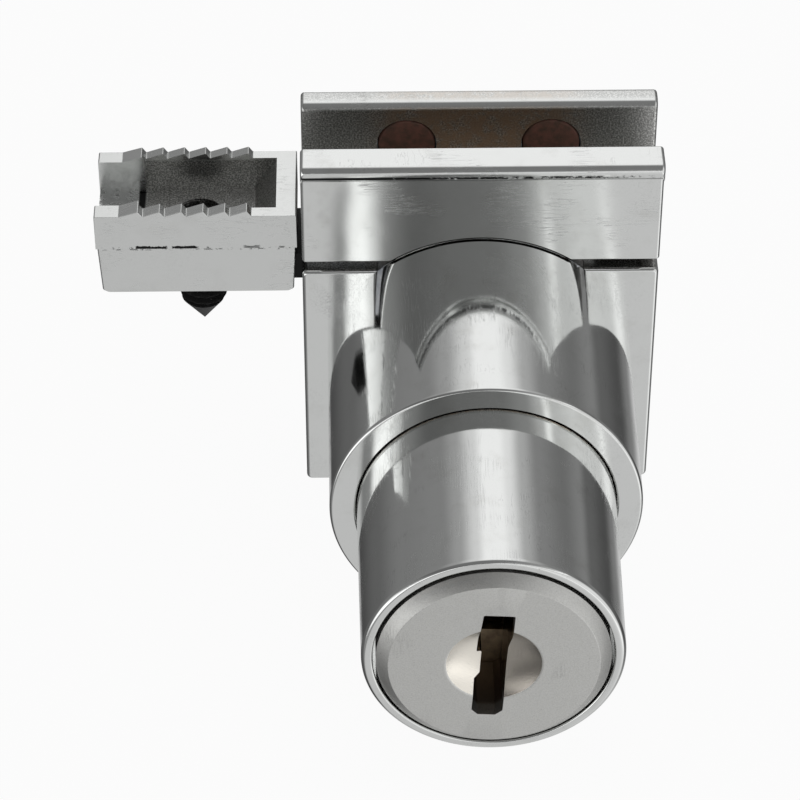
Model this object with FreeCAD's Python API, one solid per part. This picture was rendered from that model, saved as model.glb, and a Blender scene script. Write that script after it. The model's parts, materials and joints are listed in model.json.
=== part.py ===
import FreeCAD, Part
import math
import os

# Glass cabinet door lock, millimetres, +Z up, +X to the right of a person facing the barrel.
# The origin is the middle of the channel floor, where the lower edge of the glass seats.
# The barrel, plunger and plug share one axis along Y, and the barrel's mouth faces -Y.

Vector = FreeCAD.Vector

# Glass channel of the bracket
body_width = 30.0
glass_gap = 6.0
jaw_wall = 2.2
jaw_height = 8.0
lip_height = 1.7
lip_overhang = 0.7
back_wall = 2.3
back_height = 8.1
back_rounding = 0.9
web_thickness = 2.4
bracket_edge_round = 0.35

# Barrel casting
barrel_drop = 13.0
barrel_radius = 13.0
barrel_length = 19.0
barrel_root_depth = 1.3
barrel_seam = 0.2
block_top_gap = 0.9
block_drop = 13.8
block_wall = 2.4
block_edge_round = 0.4
bore_radius = 10.7

# Plunger
plunger_clearance = 0.08
plunger_reach = 17.2
plunger_travel = 5.0
plunger_end_gap = 0.5
plunger_rim_wall = 1.22
rim_chamfer = 0.35
counterbore_depth = 3.6
plunger_web = 1.6
spring_pocket_radius = 5.4
spring_pocket_depth = 7.2

# Key plug
plug_rest_turn = 3.5
plug_ring_gap = 0.2
plug_proud = 0.8
plug_chamfer = 0.93
plug_seat_gap = 0.1
journal_radius = 7.2
journal_clearance = 0.05
journal_end_gap = 0.1
dish_radius = 3.85
dish_depth = 1.0
keyway_floor_wall = 1.6
tail_radius = 1.8
tail_clearance = 0.2
tail_square = 2.4

# Keyway outline on the plug's face, as X, Z points round the plug's axis
keyway_outline = [
    (-1.2, 5.3), (-1.4, 2.6), (-1.4, 0.6), (-1.0, 0.6), (-1.0, -1.6), (-1.4, -2.1), (-1.4, -5.0),
    (-0.9, -5.5), (0.5, -5.5), (1.05, -5.0), (1.05, 1.2), (1.25, 2.5), (1.25, 5.3),
]

# Wafers in the plug
wafer_offsets = [0.9, -0.4, 0.5, -0.9, 0.2, -0.6]
wafer_pitch = 2.3
wafer_thickness = 0.9
wafer_clearance = 0.05
wafer_half_width = 3.2
wafer_window_half_width = 1.1
wafer_window_height = 5.6
wafer_first_depth = 1.5
wafer_margin = 0.1
wafer_spring_length = 4.4
wafer_spring_side = 2.35
wafer_spring_width = 0.6
wafer_spring_strip = 0.12
wafer_spring_folds = 3

# Locking lug, its flange and the clip that holds the plug in
lug_half_length = 3.4
lug_half_width = 1.8
lug_thickness = 1.6
lug_running_gap = 0.3
flange_set_back = 0.3
flange_thickness = 1.5
flange_slot_margin = 0.45
lug_cavity_radius = 5.0
clip_thickness = 0.8
clip_radius = 3.8
clip_gap = 0.1
clip_mouth = 2.9
lug_screw_radius = 0.8
lug_screw_head_radius = 1.8
lug_screw_head = 1.1
lug_screw_length = 5.0
lug_screw_slot = 0.5
lug_screw_slot_depth = 0.5

# Return spring
spring_wire = 0.9
spring_mean_radius = 4.6
spring_turns = 5.5
spring_wire_sides = 4
spring_turn_steps = 10

# Slanted driver on the plunger and the sliding bolt bar
claw_travel = 4.0
driver_half_width = 4.9
tongue_thickness = 1.4
tongue_rise = 5.8
tongue_seat_depth = 6.6
rib_width = 2.4
rib_height = 2.1
rib_engagement = 2.4
rib_clearance = 0.1
running_gap = 0.2
bar_rise = 7.8
bar_thickness = 2.6
bar_front_wall = 1.4
bar_back_gap = 0.3
bar_right_margin = 1.8
bar_grip = 5.2
driver_screw_radius = 1.2
driver_screw_spread = 2.8
driver_screw_sink = 0.2

# Claw
claw_gap = 0.4
claw_length = 16.85
claw_front_wall = 1.6
claw_back_wall = 1.45
claw_wall_height = 3.2
claw_floor_drop = 1.0
claw_height = 8.37
claw_parting_drop = 0.2
claw_parting_step = 0.12
claw_draft = 0.35
claw_ledge = 3.75
claw_pocket_overlap = 0.5
claw_pocket_widening = 0.45
claw_end_wall = 1.7
claw_ramp = 1.9
claw_corner_round = 0.5
tooth_count = 6
tooth_pitch = 1.81
tooth_height = 0.5
tooth_first_peak = 3.7
tooth_first_ramp = 1.65
tooth_drop = 0.35
roll_pin_radius = 1.0
roll_pin_bore = 0.55
roll_pin_slit = 0.35
roll_pin_inset = 2.8
roll_pin_cover = 0.5

# Set screws and fasteners
cone_screw_radius = 2.0
cone_screw_length = 10.0
cone_screw_protrusion = 6.58
cone_screw_inset = 8.25
cone_screw_socket = 2.0
cone_screw_socket_depth = 2.4
clamp_screw_radius = 2.5
clamp_screw_length = 4.0
clamp_screw_spacing = 12.2
clamp_screw_height = 3.8
clamp_socket = 2.5
clamp_socket_depth = 2.2
clamp_pad_radius = 2.4
clamp_pad_thickness = 0.6
thread_clearance = 0.04
assembly_screw_radius = 1.5
assembly_head_radius = 2.75
assembly_head_height = 1.5
assembly_screw_length = 7.0
assembly_socket = 2.0
assembly_socket_depth = 1.0
assembly_side_inset = 3.4
stop_pin_radius = 1.25
stop_pin_depth = 1.6
stop_pin_sink = 0.3
stop_pin_inset = 3.8
stop_slot_clearance = 0.1

# Places worked out from the sizes
half_width = body_width / 2
jaw_inner_y = -glass_gap / 2
back_inner_y = glass_gap / 2
face_y = jaw_inner_y - jaw_wall
back_outer_y = back_inner_y + back_wall
axis_z = -barrel_drop
block_top_z = -web_thickness - block_top_gap
block_bottom_z = axis_z - block_drop
collar_y = face_y - barrel_length
rim_y = collar_y - plunger_reach
plug_face_y = rim_y - plug_proud
flange_front_y = face_y + flange_set_back
flange_back_y = flange_front_y + flange_thickness
plunger_radius = bore_radius - plunger_clearance
plunger_back_y = flange_front_y - plunger_end_gap - plunger_travel
plunger_web_back_y = plunger_back_y - spring_pocket_depth
plunger_web_front_y = plunger_web_back_y - plunger_web
counterbore_y = rim_y + counterbore_depth
counterbore_radius = plunger_radius - plunger_rim_wall
plug_radius = counterbore_radius - plug_ring_gap
journal_end_y = plunger_web_front_y - journal_end_gap
lug_front_y = flange_back_y + lug_running_gap - plunger_travel
lug_back_y = lug_front_y + lug_thickness
tongue_bottom_z = axis_z + tongue_rise
tongue_top_z = tongue_bottom_z + tongue_thickness
rib_top_z = tongue_top_z + rib_height
bar_bottom_z = axis_z + bar_rise
bar_top_z = bar_bottom_z + bar_thickness
bar_front_y = face_y + bar_front_wall + running_gap
bar_back_y = back_inner_y - bar_back_gap
rib_tip_y = bar_front_y + rib_engagement
rib_length = plunger_travel + rib_engagement + running_gap
drive_ratio = claw_travel / plunger_travel
rib_tip_x = rib_length * drive_ratio / 2
rib_root_y = rib_tip_y - rib_length
slant = math.hypot(drive_ratio, 1.0)
claw_right_x = -half_width - claw_gap
claw_left_x = claw_right_x - claw_length
claw_front_y = jaw_inner_y - claw_front_wall
claw_back_y = back_inner_y + claw_back_wall
claw_floor_z = -claw_floor_drop
claw_top_z = claw_floor_z + claw_wall_height
claw_bottom_z = claw_top_z - claw_height
claw_parting_z = claw_floor_z - claw_parting_drop


def box(x0, y0, z0, x1, y1, z1):
    """A block between two corners."""
    return Part.makeBox(x1 - x0, y1 - y0, z1 - z0, Vector(x0, y0, z0))


def cylinder_y(radius, y0, y1, x=0.0, z=0.0):
    """A cylinder along Y between two places."""
    return Part.makeCylinder(radius, y1 - y0, Vector(x, y0, z), Vector(0, 1, 0))


def cylinder_z(radius, z0, z1, x=0.0, y=0.0):
    """A cylinder along Z between two heights."""
    return Part.makeCylinder(radius, z1 - z0, Vector(x, y, z0), Vector(0, 0, 1))


def turned_y(profile, x=0.0, z=0.0):
    """A solid of revolution round an axis along Y, from radius and Y points."""
    points = [Vector(x + radius, y, z) for radius, y in profile]
    face = Part.Face(Part.makePolygon(points + points[:1]))
    return face.revolve(Vector(x, 0, z), Vector(0, 1, 0), 360)


def turned_z(profile, x=0.0, y=0.0):
    """A solid of revolution round an axis along Z, from radius and Z points."""
    points = [Vector(x + radius, y, z) for radius, z in profile]
    face = Part.Face(Part.makePolygon(points + points[:1]))
    return face.revolve(Vector(x, y, 0), Vector(0, 0, 1), 360)


def prism(points, direction):
    """A straight prism over a closed outline of points."""
    return Part.Face(Part.makePolygon(points + points[:1])).extrude(direction)


def hexagon_y(across, y0, y1, x, z):
    """A hexagonal socket along Y, from its size across flats."""
    reach = across / math.sqrt(3)
    corners = [math.radians(60 * step) for step in range(6)]
    points = [Vector(x + reach * math.cos(a), y0, z + reach * math.sin(a)) for a in corners]
    return prism(points, Vector(0, y1 - y0, 0))


def hexagon_z(across, z0, z1, x, y):
    """A hexagonal socket along Z, from its size across flats."""
    reach = across / math.sqrt(3)
    corners = [math.radians(60 * step) for step in range(6)]
    points = [Vector(x + reach * math.cos(a), y + reach * math.sin(a), z0) for a in corners]
    return prism(points, Vector(0, 0, z1 - z0))


def edges_near(shape, test):
    """The edges whose middle passes a test on its place and direction."""
    found = []
    for edge in shape.Edges:
        middle = edge.valueAt((edge.FirstParameter + edge.LastParameter) / 2)
        run = edge.tangentAt((edge.FirstParameter + edge.LastParameter) / 2)
        if test(middle, run):
            found.append(edge)
    return found


def assembly_screw_places():
    """The X, Z centres of the two screws that hold the bracket to the barrel casting."""
    side = half_width - assembly_side_inset
    return [(-side, axis_z), (side, axis_z)]


def line(a, b):
    """A straight edge between two points."""
    return Part.LineSegment(a, b).toShape()


def quarter(start, corner, end):
    """A quarter arc that rounds a square corner between two points at equal distance from it."""
    centre = start + end - corner
    middle = centre + (corner - centre) * math.sqrt(0.5)
    return Part.Arc(start, middle, end).toShape()


def channel_section():
    """The bracket's section in the Y, Z plane without its lip: front jaw, web, and tall back wall."""
    r = back_rounding
    low = block_bottom_z

    def at(y, z):
        return Vector(-half_width, y, z)

    edges = [
        line(at(face_y, -web_thickness), at(face_y, jaw_height)),
        line(at(face_y, jaw_height), at(jaw_inner_y, jaw_height)),
        line(at(jaw_inner_y, jaw_height), at(jaw_inner_y, 0)),
        line(at(jaw_inner_y, 0), at(back_inner_y, 0)),
        line(at(back_inner_y, 0), at(back_inner_y, back_height - r)),
        quarter(
            at(back_inner_y, back_height - r),
            at(back_inner_y, back_height),
            at(back_inner_y + r, back_height),
        ),
        line(at(back_inner_y + r, back_height), at(back_outer_y - r, back_height)),
        quarter(
            at(back_outer_y - r, back_height),
            at(back_outer_y, back_height),
            at(back_outer_y, back_height - r),
        ),
        line(at(back_outer_y, back_height - r), at(back_outer_y, low)),
        line(at(back_outer_y, low), at(back_inner_y, low)),
        line(at(back_inner_y, low), at(back_inner_y, -web_thickness)),
        line(at(back_inner_y, -web_thickness), at(face_y, -web_thickness)),
    ]
    return Part.Face(Part.Wire(edges))


def bracket_lip():
    """The half-round lip along the front jaw's top."""
    r = lip_height / 2
    front = face_y - lip_overhang
    low = jaw_height - lip_height

    def at(y, z):
        return Vector(-half_width, y, z)

    edges = [
        line(at(jaw_inner_y, low), at(front + r, low)),
        Part.Arc(at(front + r, low), at(front, low + r), at(front + r, jaw_height)).toShape(),
        line(at(front + r, jaw_height), at(jaw_inner_y, jaw_height)),
        line(at(jaw_inner_y, jaw_height), at(jaw_inner_y, low)),
    ]
    return Part.Face(Part.Wire(edges)).extrude(Vector(body_width, 0, 0))


def clamp_screw_places():
    """The X centres of the two clamp screws."""
    return {"left": -clamp_screw_spacing / 2, "right": clamp_screw_spacing / 2}


def channel_bracket():
    """The casting that grips the glass and closes the back of the barrel casting."""
    body = channel_section().extrude(Vector(body_width, 0, 0))

    def front_edge(middle, run):
        return abs(abs(middle.x) - half_width) < 0.01 and middle.y < face_y + 0.01

    body = body.makeFillet(bracket_edge_round, edges_near(body, front_edge))
    body = body.fuse(bracket_lip())
    recess_end = face_y + barrel_root_depth + barrel_seam
    body = body.cut(cylinder_y(barrel_radius + barrel_seam, face_y - 1, recess_end, 0, axis_z))
    for x, z in assembly_screw_places():
        seat = back_outer_y - assembly_head_height
        shank = assembly_screw_radius + thread_clearance
        head = assembly_head_radius + thread_clearance
        body = body.cut(cylinder_y(shank, back_inner_y, back_outer_y, x, z))
        body = body.cut(cylinder_y(head, seat, back_outer_y, x, z))
    for x in clamp_screw_places().values():
        bore = clamp_screw_radius + thread_clearance
        body = body.cut(cylinder_y(bore, back_inner_y, back_outer_y, x, clamp_screw_height))
    pocket_side = driver_half_width + running_gap
    pocket_depth = rib_tip_y + plunger_travel + running_gap
    body = body.cut(
        box(
            -pocket_side,
            back_inner_y,
            tongue_bottom_z - running_gap,
            pocket_side,
            pocket_depth,
            bar_top_z,
        )
    )
    return body.removeSplitter()


def bar_slot():
    """The slot for the bolt bar, open at the top, the left side and the back."""
    return box(
        -half_width - 1,
        bar_front_y - running_gap,
        bar_bottom_z - running_gap,
        bar_right_x() + claw_gap,
        back_inner_y + 1,
        block_top_z + 1,
    )


def lug_opening():
    """The double-D opening that the lug passes in one position and hooks behind in the other."""
    reach = lug_half_length + flange_slot_margin
    side = lug_half_width + flange_slot_margin
    disc = cylinder_y(reach, flange_front_y - 1, flange_back_y + 1, 0, axis_z)
    band = box(-side, flange_front_y - 1, axis_z - reach, side, flange_back_y + 1, axis_z + reach)
    return disc.common(band)


def barrel_body():
    """The casting with the base plate, the barrel and the guides for the plunger and the bolt bar."""
    block = box(-half_width, face_y, block_bottom_z, half_width, back_inner_y, block_top_z)

    def plate_edge(middle, run):
        upright = abs(abs(middle.x) - half_width) < 0.01 and abs(middle.y - face_y) < 0.01
        low = abs(middle.z - block_bottom_z) < 0.01 and abs(middle.y - face_y) < 0.01
        return upright or low

    block = block.makeFillet(block_edge_round, edges_near(block, plate_edge))
    core = box(
        -half_width + block_wall,
        jaw_inner_y,
        block_bottom_z + block_wall,
        half_width - block_wall,
        back_inner_y + 1,
        axis_z,
    )
    hub = cylinder_y(barrel_radius, jaw_inner_y - 1, back_inner_y + 1, 0, axis_z)
    body = block.cut(core.cut(hub))
    root = face_y + barrel_root_depth
    body = body.fuse(cylinder_y(barrel_radius, collar_y, root, 0, axis_z))
    body = body.cut(cylinder_y(bore_radius, collar_y - 1, flange_front_y, 0, axis_z))
    body = body.cut(lug_opening())
    body = body.cut(cylinder_y(lug_cavity_radius, flange_back_y, back_inner_y + 1, 0, axis_z))
    side = driver_half_width + running_gap
    window = box(
        -side,
        flange_front_y - 1,
        tongue_bottom_z - running_gap,
        side,
        back_inner_y + 1,
        rib_top_z + running_gap,
    )
    body = body.cut(window)
    body = body.cut(bar_slot())
    for x, z in assembly_screw_places():
        start = back_outer_y - assembly_screw_length
        tapped = assembly_screw_radius + thread_clearance
        body = body.cut(cylinder_y(tapped, start, back_inner_y + 1, x, z))
    pin_y = stop_pin_y()
    body = body.cut(cylinder_z(stop_pin_radius, axis_z - barrel_radius - 1, axis_z, 0, pin_y))
    return body.removeSplitter()


def stop_pin_y():
    """Where the stop pin stands along the barrel."""
    return plunger_back_y - stop_pin_inset


def travel_stop_pin():
    """The pin pressed up through the barrel's underside into the plunger's slot."""
    top = axis_z - plunger_radius + stop_pin_depth - running_gap
    bottom = axis_z - barrel_radius + stop_pin_sink
    return cylinder_z(stop_pin_radius, bottom, top, 0, stop_pin_y())


def stop_slot():
    """The flat-ended slot in the plunger's underside that runs along the stop pin."""
    pin_y = stop_pin_y()
    side = stop_pin_radius + stop_slot_clearance
    low = axis_z - plunger_radius
    return box(-side, pin_y - plunger_travel - side, low - 1, side, pin_y + side, low + stop_pin_depth)


def plunger_shell():
    """The sliding sleeve: rim, counterbore for the plug's face, journal bore and spring pocket."""
    tail_bore = tail_radius + tail_clearance
    journal_bore = journal_radius + journal_clearance
    body = turned_y(
        [
            (counterbore_radius, rim_y),
            (plunger_radius - rim_chamfer, rim_y),
            (plunger_radius, rim_y + rim_chamfer),
            (plunger_radius, plunger_back_y),
            (spring_pocket_radius, plunger_back_y),
            (spring_pocket_radius, plunger_web_back_y),
            (tail_bore, plunger_web_back_y),
            (tail_bore, plunger_web_front_y),
            (journal_bore, plunger_web_front_y),
            (journal_bore, counterbore_y),
            (counterbore_radius, counterbore_y),
        ],
        0,
        axis_z,
    )
    body = body.cut(
        box(
            -driver_half_width,
            plunger_back_y - tongue_seat_depth,
            tongue_bottom_z,
            driver_half_width,
            plunger_back_y + 1,
            tongue_top_z,
        )
    )
    body = body.cut(stop_slot())
    for x in (-driver_screw_spread, driver_screw_spread):
        body = body.cut(driver_screw_hole(x))
    return body


def driver_screw_y():
    """Where the driver screws stand along the plunger."""
    return plunger_back_y - tongue_seat_depth / 2


def driver_screw_hole(x):
    """The tapped hole for a driver screw, from the plunger's outside down to the tongue."""
    top = axis_z + plunger_radius + 1
    return cylinder_z(driver_screw_radius + thread_clearance, tongue_top_z - 1, top, x, driver_screw_y())


def driver_screws():
    """The two headless screws that clamp the tongue in its seat, just under the plunger's skin."""
    edge = driver_screw_spread + driver_screw_radius
    top = axis_z + math.sqrt(plunger_radius**2 - edge**2) - driver_screw_sink
    screws = []
    for x in (-driver_screw_spread, driver_screw_spread):
        screws.append(cylinder_z(driver_screw_radius, tongue_top_z, top, x, driver_screw_y()))
    return Part.makeCompound(screws)


def rib_outline(y0, y1, width):
    """The slanted rib's outline between two places along Y, in the driver's place at rest."""
    half = width / 2 * slant
    x0 = rib_tip_x + (y0 - rib_tip_y) * drive_ratio
    x1 = rib_tip_x + (y1 - rib_tip_y) * drive_ratio
    return [(x0 - half, y0), (x0 + half, y0), (x1 + half, y1), (x1 - half, y1)]


def slide_driver():
    """The tongue in the plunger's tail with the slanted rib that pushes the bolt bar sideways."""
    tongue = box(
        -driver_half_width,
        plunger_back_y - tongue_seat_depth,
        tongue_bottom_z,
        driver_half_width,
        rib_tip_y,
        tongue_top_z,
    )
    points = [Vector(x, y, tongue_top_z) for x, y in rib_outline(rib_root_y, rib_tip_y, rib_width)]
    rib = prism(points, Vector(0, 0, rib_height))
    return tongue.fuse(rib).removeSplitter()


def bar_right_x():
    """The bolt bar's right end, one wall past its slanted groove."""
    reach = (rib_width / 2 + rib_clearance) * slant
    groove_right = rib_tip_x + (bar_back_y - rib_tip_y) * drive_ratio + reach
    return groove_right + bar_right_margin


def bolt_bar():
    """The flat bar that slides in the casting, with the slanted groove in its underside."""
    body = box(claw_right_x - bar_grip, bar_front_y, bar_bottom_z, bar_right_x(), bar_back_y, bar_top_z)
    width = rib_width + 2 * rib_clearance
    outline = rib_outline(bar_front_y - 1, bar_back_y + 1, width)
    points = [Vector(x, y, bar_bottom_z - 1) for x, y in outline]
    groove_top = rib_top_z + running_gap
    body = body.cut(prism(points, Vector(0, 0, groove_top - bar_bottom_z + 1)))
    x, y = roll_pin_place()
    return body.cut(cylinder_z(roll_pin_radius, bar_bottom_z - 1, bar_top_z + 1, x, y))


def roll_pin_place():
    """The X, Y centre of the roll pin that ties the claw to the bolt bar."""
    return claw_right_x - roll_pin_inset, (bar_front_y + bar_back_y) / 2


def tooth_outline():
    """The saw-tooth edge of one claw wall as X, Z points, left to right: slow rise, steep drop."""
    points = []
    foot = claw_left_x + tooth_first_peak - tooth_first_ramp
    points.append((foot, claw_top_z))
    for index in range(tooth_count):
        peak = claw_left_x + tooth_first_peak + index * tooth_pitch
        points.append((peak, claw_top_z + tooth_height))
        points.append((peak + tooth_drop, claw_top_z))
    return points


def claw():
    """The sliding claw: a short U-channel with toothed walls, a cored pocket and a solid base."""
    step = claw_parting_step
    d = claw_draft
    upper_outline = (
        [(claw_left_x, claw_parting_z), (claw_left_x, claw_top_z)]
        + tooth_outline()
        + [(claw_right_x, claw_top_z), (claw_right_x, claw_parting_z)]
    )
    upper_points = [Vector(x, claw_front_y, z) for x, z in upper_outline]
    upper = prism(upper_points, Vector(0, claw_back_y - claw_front_y, 0))

    def base_wire(z, inset):
        x0 = claw_left_x + inset
        x1 = claw_right_x - inset
        y0 = claw_front_y + inset
        y1 = claw_back_y - inset
        corners = [Vector(x0, y0, z), Vector(x1, y0, z), Vector(x1, y1, z), Vector(x0, y1, z)]
        return Part.makePolygon(corners + corners[:1])

    base = Part.makeLoft([base_wire(claw_parting_z, step), base_wire(claw_bottom_z, d)], True, True)

    def base_edge(middle, run):
        return abs(middle.z - claw_bottom_z) < 0.01 and abs(run.y) > 0.9

    base = base.makeFillet(claw_corner_round, edges_near(base, base_edge))
    body = upper.fuse(base)
    high = claw_top_z + tooth_height + 1
    channel = box(
        claw_left_x - 1,
        jaw_inner_y,
        claw_floor_z,
        claw_left_x + claw_ledge + claw_pocket_overlap,
        back_inner_y,
        high,
    )
    ramp_foot = claw_right_x - claw_end_wall - claw_ramp
    pocket_outline = [
        (claw_left_x + claw_ledge + claw_pocket_widening, claw_floor_z),
        (ramp_foot, claw_floor_z),
        (claw_right_x - claw_end_wall, claw_top_z),
        (claw_right_x - claw_end_wall, high),
        (claw_left_x + claw_ledge, high),
        (claw_left_x + claw_ledge, claw_top_z),
    ]
    pocket_front = jaw_inner_y - claw_pocket_widening
    pocket_back = back_inner_y + claw_pocket_widening
    pocket_points = [Vector(x, pocket_front, z) for x, z in pocket_outline]
    pocket = prism(pocket_points, Vector(0, pocket_back - pocket_front, 0))
    body = body.cut(channel.fuse(pocket))
    bar_left_x = claw_right_x - bar_grip
    socket = box(bar_left_x, bar_front_y, bar_bottom_z, claw_right_x + 1, bar_back_y, bar_top_z)
    body = body.cut(socket)
    x, y = roll_pin_place()
    body = body.cut(cylinder_z(roll_pin_radius, claw_bottom_z - 1, roll_pin_top_z(), x, y))
    x, y = cone_screw_place()
    hole_radius = cone_screw_radius + thread_clearance
    return body.cut(cylinder_z(hole_radius, claw_bottom_z - 1, claw_floor_z + 1, x, y))


def roll_pin_top_z():
    """The blind end of the roll pin's hole, under the claw's ramp."""
    return claw_floor_z - roll_pin_cover


def claw_roll_pin():
    """The slit spring pin that ties the claw to the bolt bar."""
    x, y = roll_pin_place()
    radius = roll_pin_radius - thread_clearance / 2
    outer = cylinder_z(radius, claw_bottom_z + claw_draft, roll_pin_top_z(), x, y)
    inner = cylinder_z(roll_pin_bore, claw_bottom_z - 1, claw_top_z, x, y)
    slit = box(x, y - roll_pin_slit / 2, claw_bottom_z - 1, x + 2, y + roll_pin_slit / 2, claw_top_z)
    return outer.cut(inner.fuse(slit))


def cone_screw_place():
    """The X, Y centre of the cone-point screw."""
    return claw_right_x - cone_screw_inset, 0.0


def cone_point_screw():
    """The cone-point set screw through the claw's base, point down."""
    x, y = cone_screw_place()
    tip = claw_bottom_z - cone_screw_protrusion
    top = tip + cone_screw_length
    r = cone_screw_radius
    body = turned_z([(0, tip), (r, tip + r), (r, top), (0, top)], x, y)
    return body.cut(hexagon_z(cone_screw_socket, top - cone_screw_socket_depth, top + 1, x, y))


def clamp_screw(x):
    """One clamp set screw in the bracket's back wall, with its hexagon socket at the back."""
    tip = back_inner_y + clamp_pad_thickness
    end = tip + clamp_screw_length
    body = cylinder_y(clamp_screw_radius, tip, end, x, clamp_screw_height)
    socket_start = end - clamp_socket_depth
    return body.cut(hexagon_y(clamp_socket, socket_start, end + 1, x, clamp_screw_height))


def clamp_pad(x):
    """The soft pad on a clamp screw's tip, level with the wall when the screw is backed off."""
    end = back_inner_y + clamp_pad_thickness
    return cylinder_y(clamp_pad_radius, back_inner_y, end, x, clamp_screw_height)


def assembly_screws():
    """The two low-head screws through the bracket's back wall."""
    screws = []
    neck = back_outer_y - assembly_head_height
    start = back_outer_y - assembly_screw_length
    for x, z in assembly_screw_places():
        shank = cylinder_y(assembly_screw_radius, start, neck, x, z)
        screw = shank.fuse(cylinder_y(assembly_head_radius, neck, back_outer_y, x, z))
        socket_start = back_outer_y - assembly_socket_depth
        screws.append(screw.cut(hexagon_y(assembly_socket, socket_start, back_outer_y + 1, x, z)))
    return Part.makeCompound(screws)


def wafer_y(index):
    """The front face of one wafer along the plug."""
    return counterbore_y + wafer_first_depth + index * wafer_pitch


def wafer_blank(index, margin):
    """A wafer's outline as a plate across the plug, or its slot with a margin."""
    y0 = wafer_y(index) - margin
    y1 = y0 + wafer_thickness + 2 * margin
    side = wafer_half_width + margin
    top = journal_radius - wafer_margin
    plate = box(-side, y0, axis_z - top - 1, side, y1, axis_z + top + 1)
    if margin > 0:
        return plate
    return plate.common(cylinder_y(top, y0 - 1, y1 + 1, 0, axis_z))


def spring_notch(index):
    """The side notch of a wafer where its little spring stands."""
    y = wafer_y(index)
    reach = wafer_spring_length / 2 + wafer_margin
    side = wafer_spring_side - wafer_margin
    return box(side, y - 1, axis_z - reach, wafer_half_width + 1, y + wafer_thickness + 1, axis_z + reach)


def wafer(index):
    """One wafer: a plate with a window for the key and a notch for its spring."""
    plate = wafer_blank(index, 0)
    y = wafer_y(index)
    middle = axis_z + wafer_offsets[index]
    half = wafer_window_height / 2
    side = wafer_window_half_width
    window = box(-side, y - 1, middle - half, side, y + wafer_thickness + 1, middle + half)
    return turned_plug(plate.cut(window).cut(spring_notch(index)))


def wafer_springs():
    """The six folded springs beside the wafers, each standing in its wafer's side notch."""
    springs = []
    rise = wafer_spring_length / wafer_spring_folds
    strip = wafer_spring_strip
    inner = wafer_spring_side
    outer = inner + wafer_spring_width
    for index in range(len(wafer_offsets)):
        y = wafer_y(index) + wafer_margin
        bottom = axis_z - wafer_spring_length / 2
        folds = []
        for fold in range(wafer_spring_folds + 1):
            folds.append((outer if fold % 2 else inner, bottom + fold * rise))
        back = [(x + strip, z) for x, z in reversed(folds)]
        points = [Vector(x, y, z) for x, z in folds + back]
        depth = wafer_thickness - 2 * wafer_margin
        springs.append(turned_plug(prism(points, Vector(0, depth, 0))))
    return Part.makeCompound(springs)


def turned_plug(shape):
    """Turns a piece of the plug to the few degrees of play at which the plug rests."""
    turned = shape.copy()
    turned.rotate(Vector(0, 0, axis_z), Vector(0, 1, 0), plug_rest_turn)
    return turned


def keyway():
    """The warded keyway as a prism from the face to its blind floor."""
    start = plug_face_y - 1
    end = journal_end_y - keyway_floor_wall
    points = [Vector(x, start, axis_z + z) for x, z in keyway_outline]
    return prism(points, Vector(0, end - start, 0))


def key_plug():
    """The plug: chamfered face with its round dish, journal with wafer slots, and tail rod."""
    disc_back = counterbore_y - plug_seat_gap
    profile = [
        (0, plug_face_y),
        (plug_radius - plug_chamfer, plug_face_y),
        (plug_radius, rim_y),
        (plug_radius, disc_back),
        (journal_radius, disc_back),
        (journal_radius, journal_end_y),
        (tail_radius, journal_end_y),
        (tail_radius, lug_front_y),
        (0, lug_front_y),
    ]
    body = turned_y(profile, 0, axis_z)
    half = tail_square / 2
    body = body.fuse(box(-half, lug_front_y, axis_z - half, half, lug_back_y, axis_z + half))
    ball = (dish_radius**2 + dish_depth**2) / (2 * dish_depth)
    body = body.cut(Part.makeSphere(ball, Vector(0, plug_face_y + dish_depth - ball, axis_z)))
    body = body.cut(keyway())
    for index in range(len(wafer_offsets)):
        body = body.cut(wafer_blank(index, wafer_clearance))
    start = lug_back_y - lug_screw_length
    body = body.cut(cylinder_y(lug_screw_radius, start, lug_back_y + 1, 0, axis_z))
    return turned_plug(body)


def locking_lug():
    """The double-D lug on the tail's square, long way up at rest."""
    disc = cylinder_y(lug_half_length, lug_front_y, lug_back_y, 0, axis_z)
    side = lug_half_width
    reach = lug_half_length + 1
    band = box(-side, lug_front_y, axis_z - reach, side, lug_back_y, axis_z + reach)
    half = tail_square / 2
    square = box(-half, lug_front_y - 1, axis_z - half, half, lug_back_y + 1, axis_z + half)
    return turned_plug(disc.common(band).cut(square))


def lug_screw():
    """The slotted screw that holds the lug on the tail."""
    head_end = lug_back_y + lug_screw_head
    start = lug_back_y - lug_screw_length
    shank = cylinder_y(lug_screw_radius - thread_clearance, start, lug_back_y, 0, axis_z)
    body = shank.fuse(cylinder_y(lug_screw_head_radius, lug_back_y, head_end, 0, axis_z))
    half = lug_screw_slot / 2
    reach = lug_screw_head_radius + 1
    slot_floor = head_end - lug_screw_slot_depth
    slot = box(-reach, slot_floor, axis_z - half, reach, head_end + 1, axis_z + half)
    return turned_plug(body.cut(slot))


def plug_clip():
    """The open push-on ring on the tail rod, behind the plunger's web."""
    start = plunger_web_back_y + clip_gap
    end = start + clip_thickness
    ring = cylinder_y(clip_radius, start, end, 0, axis_z)
    ring = ring.cut(cylinder_y(tail_radius, start - 1, end + 1, 0, axis_z))
    half = clip_mouth / 2
    mouth = box(-half, start - 1, axis_z - clip_radius - 1, half, end + 1, axis_z)
    return turned_plug(ring.cut(mouth))


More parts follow.
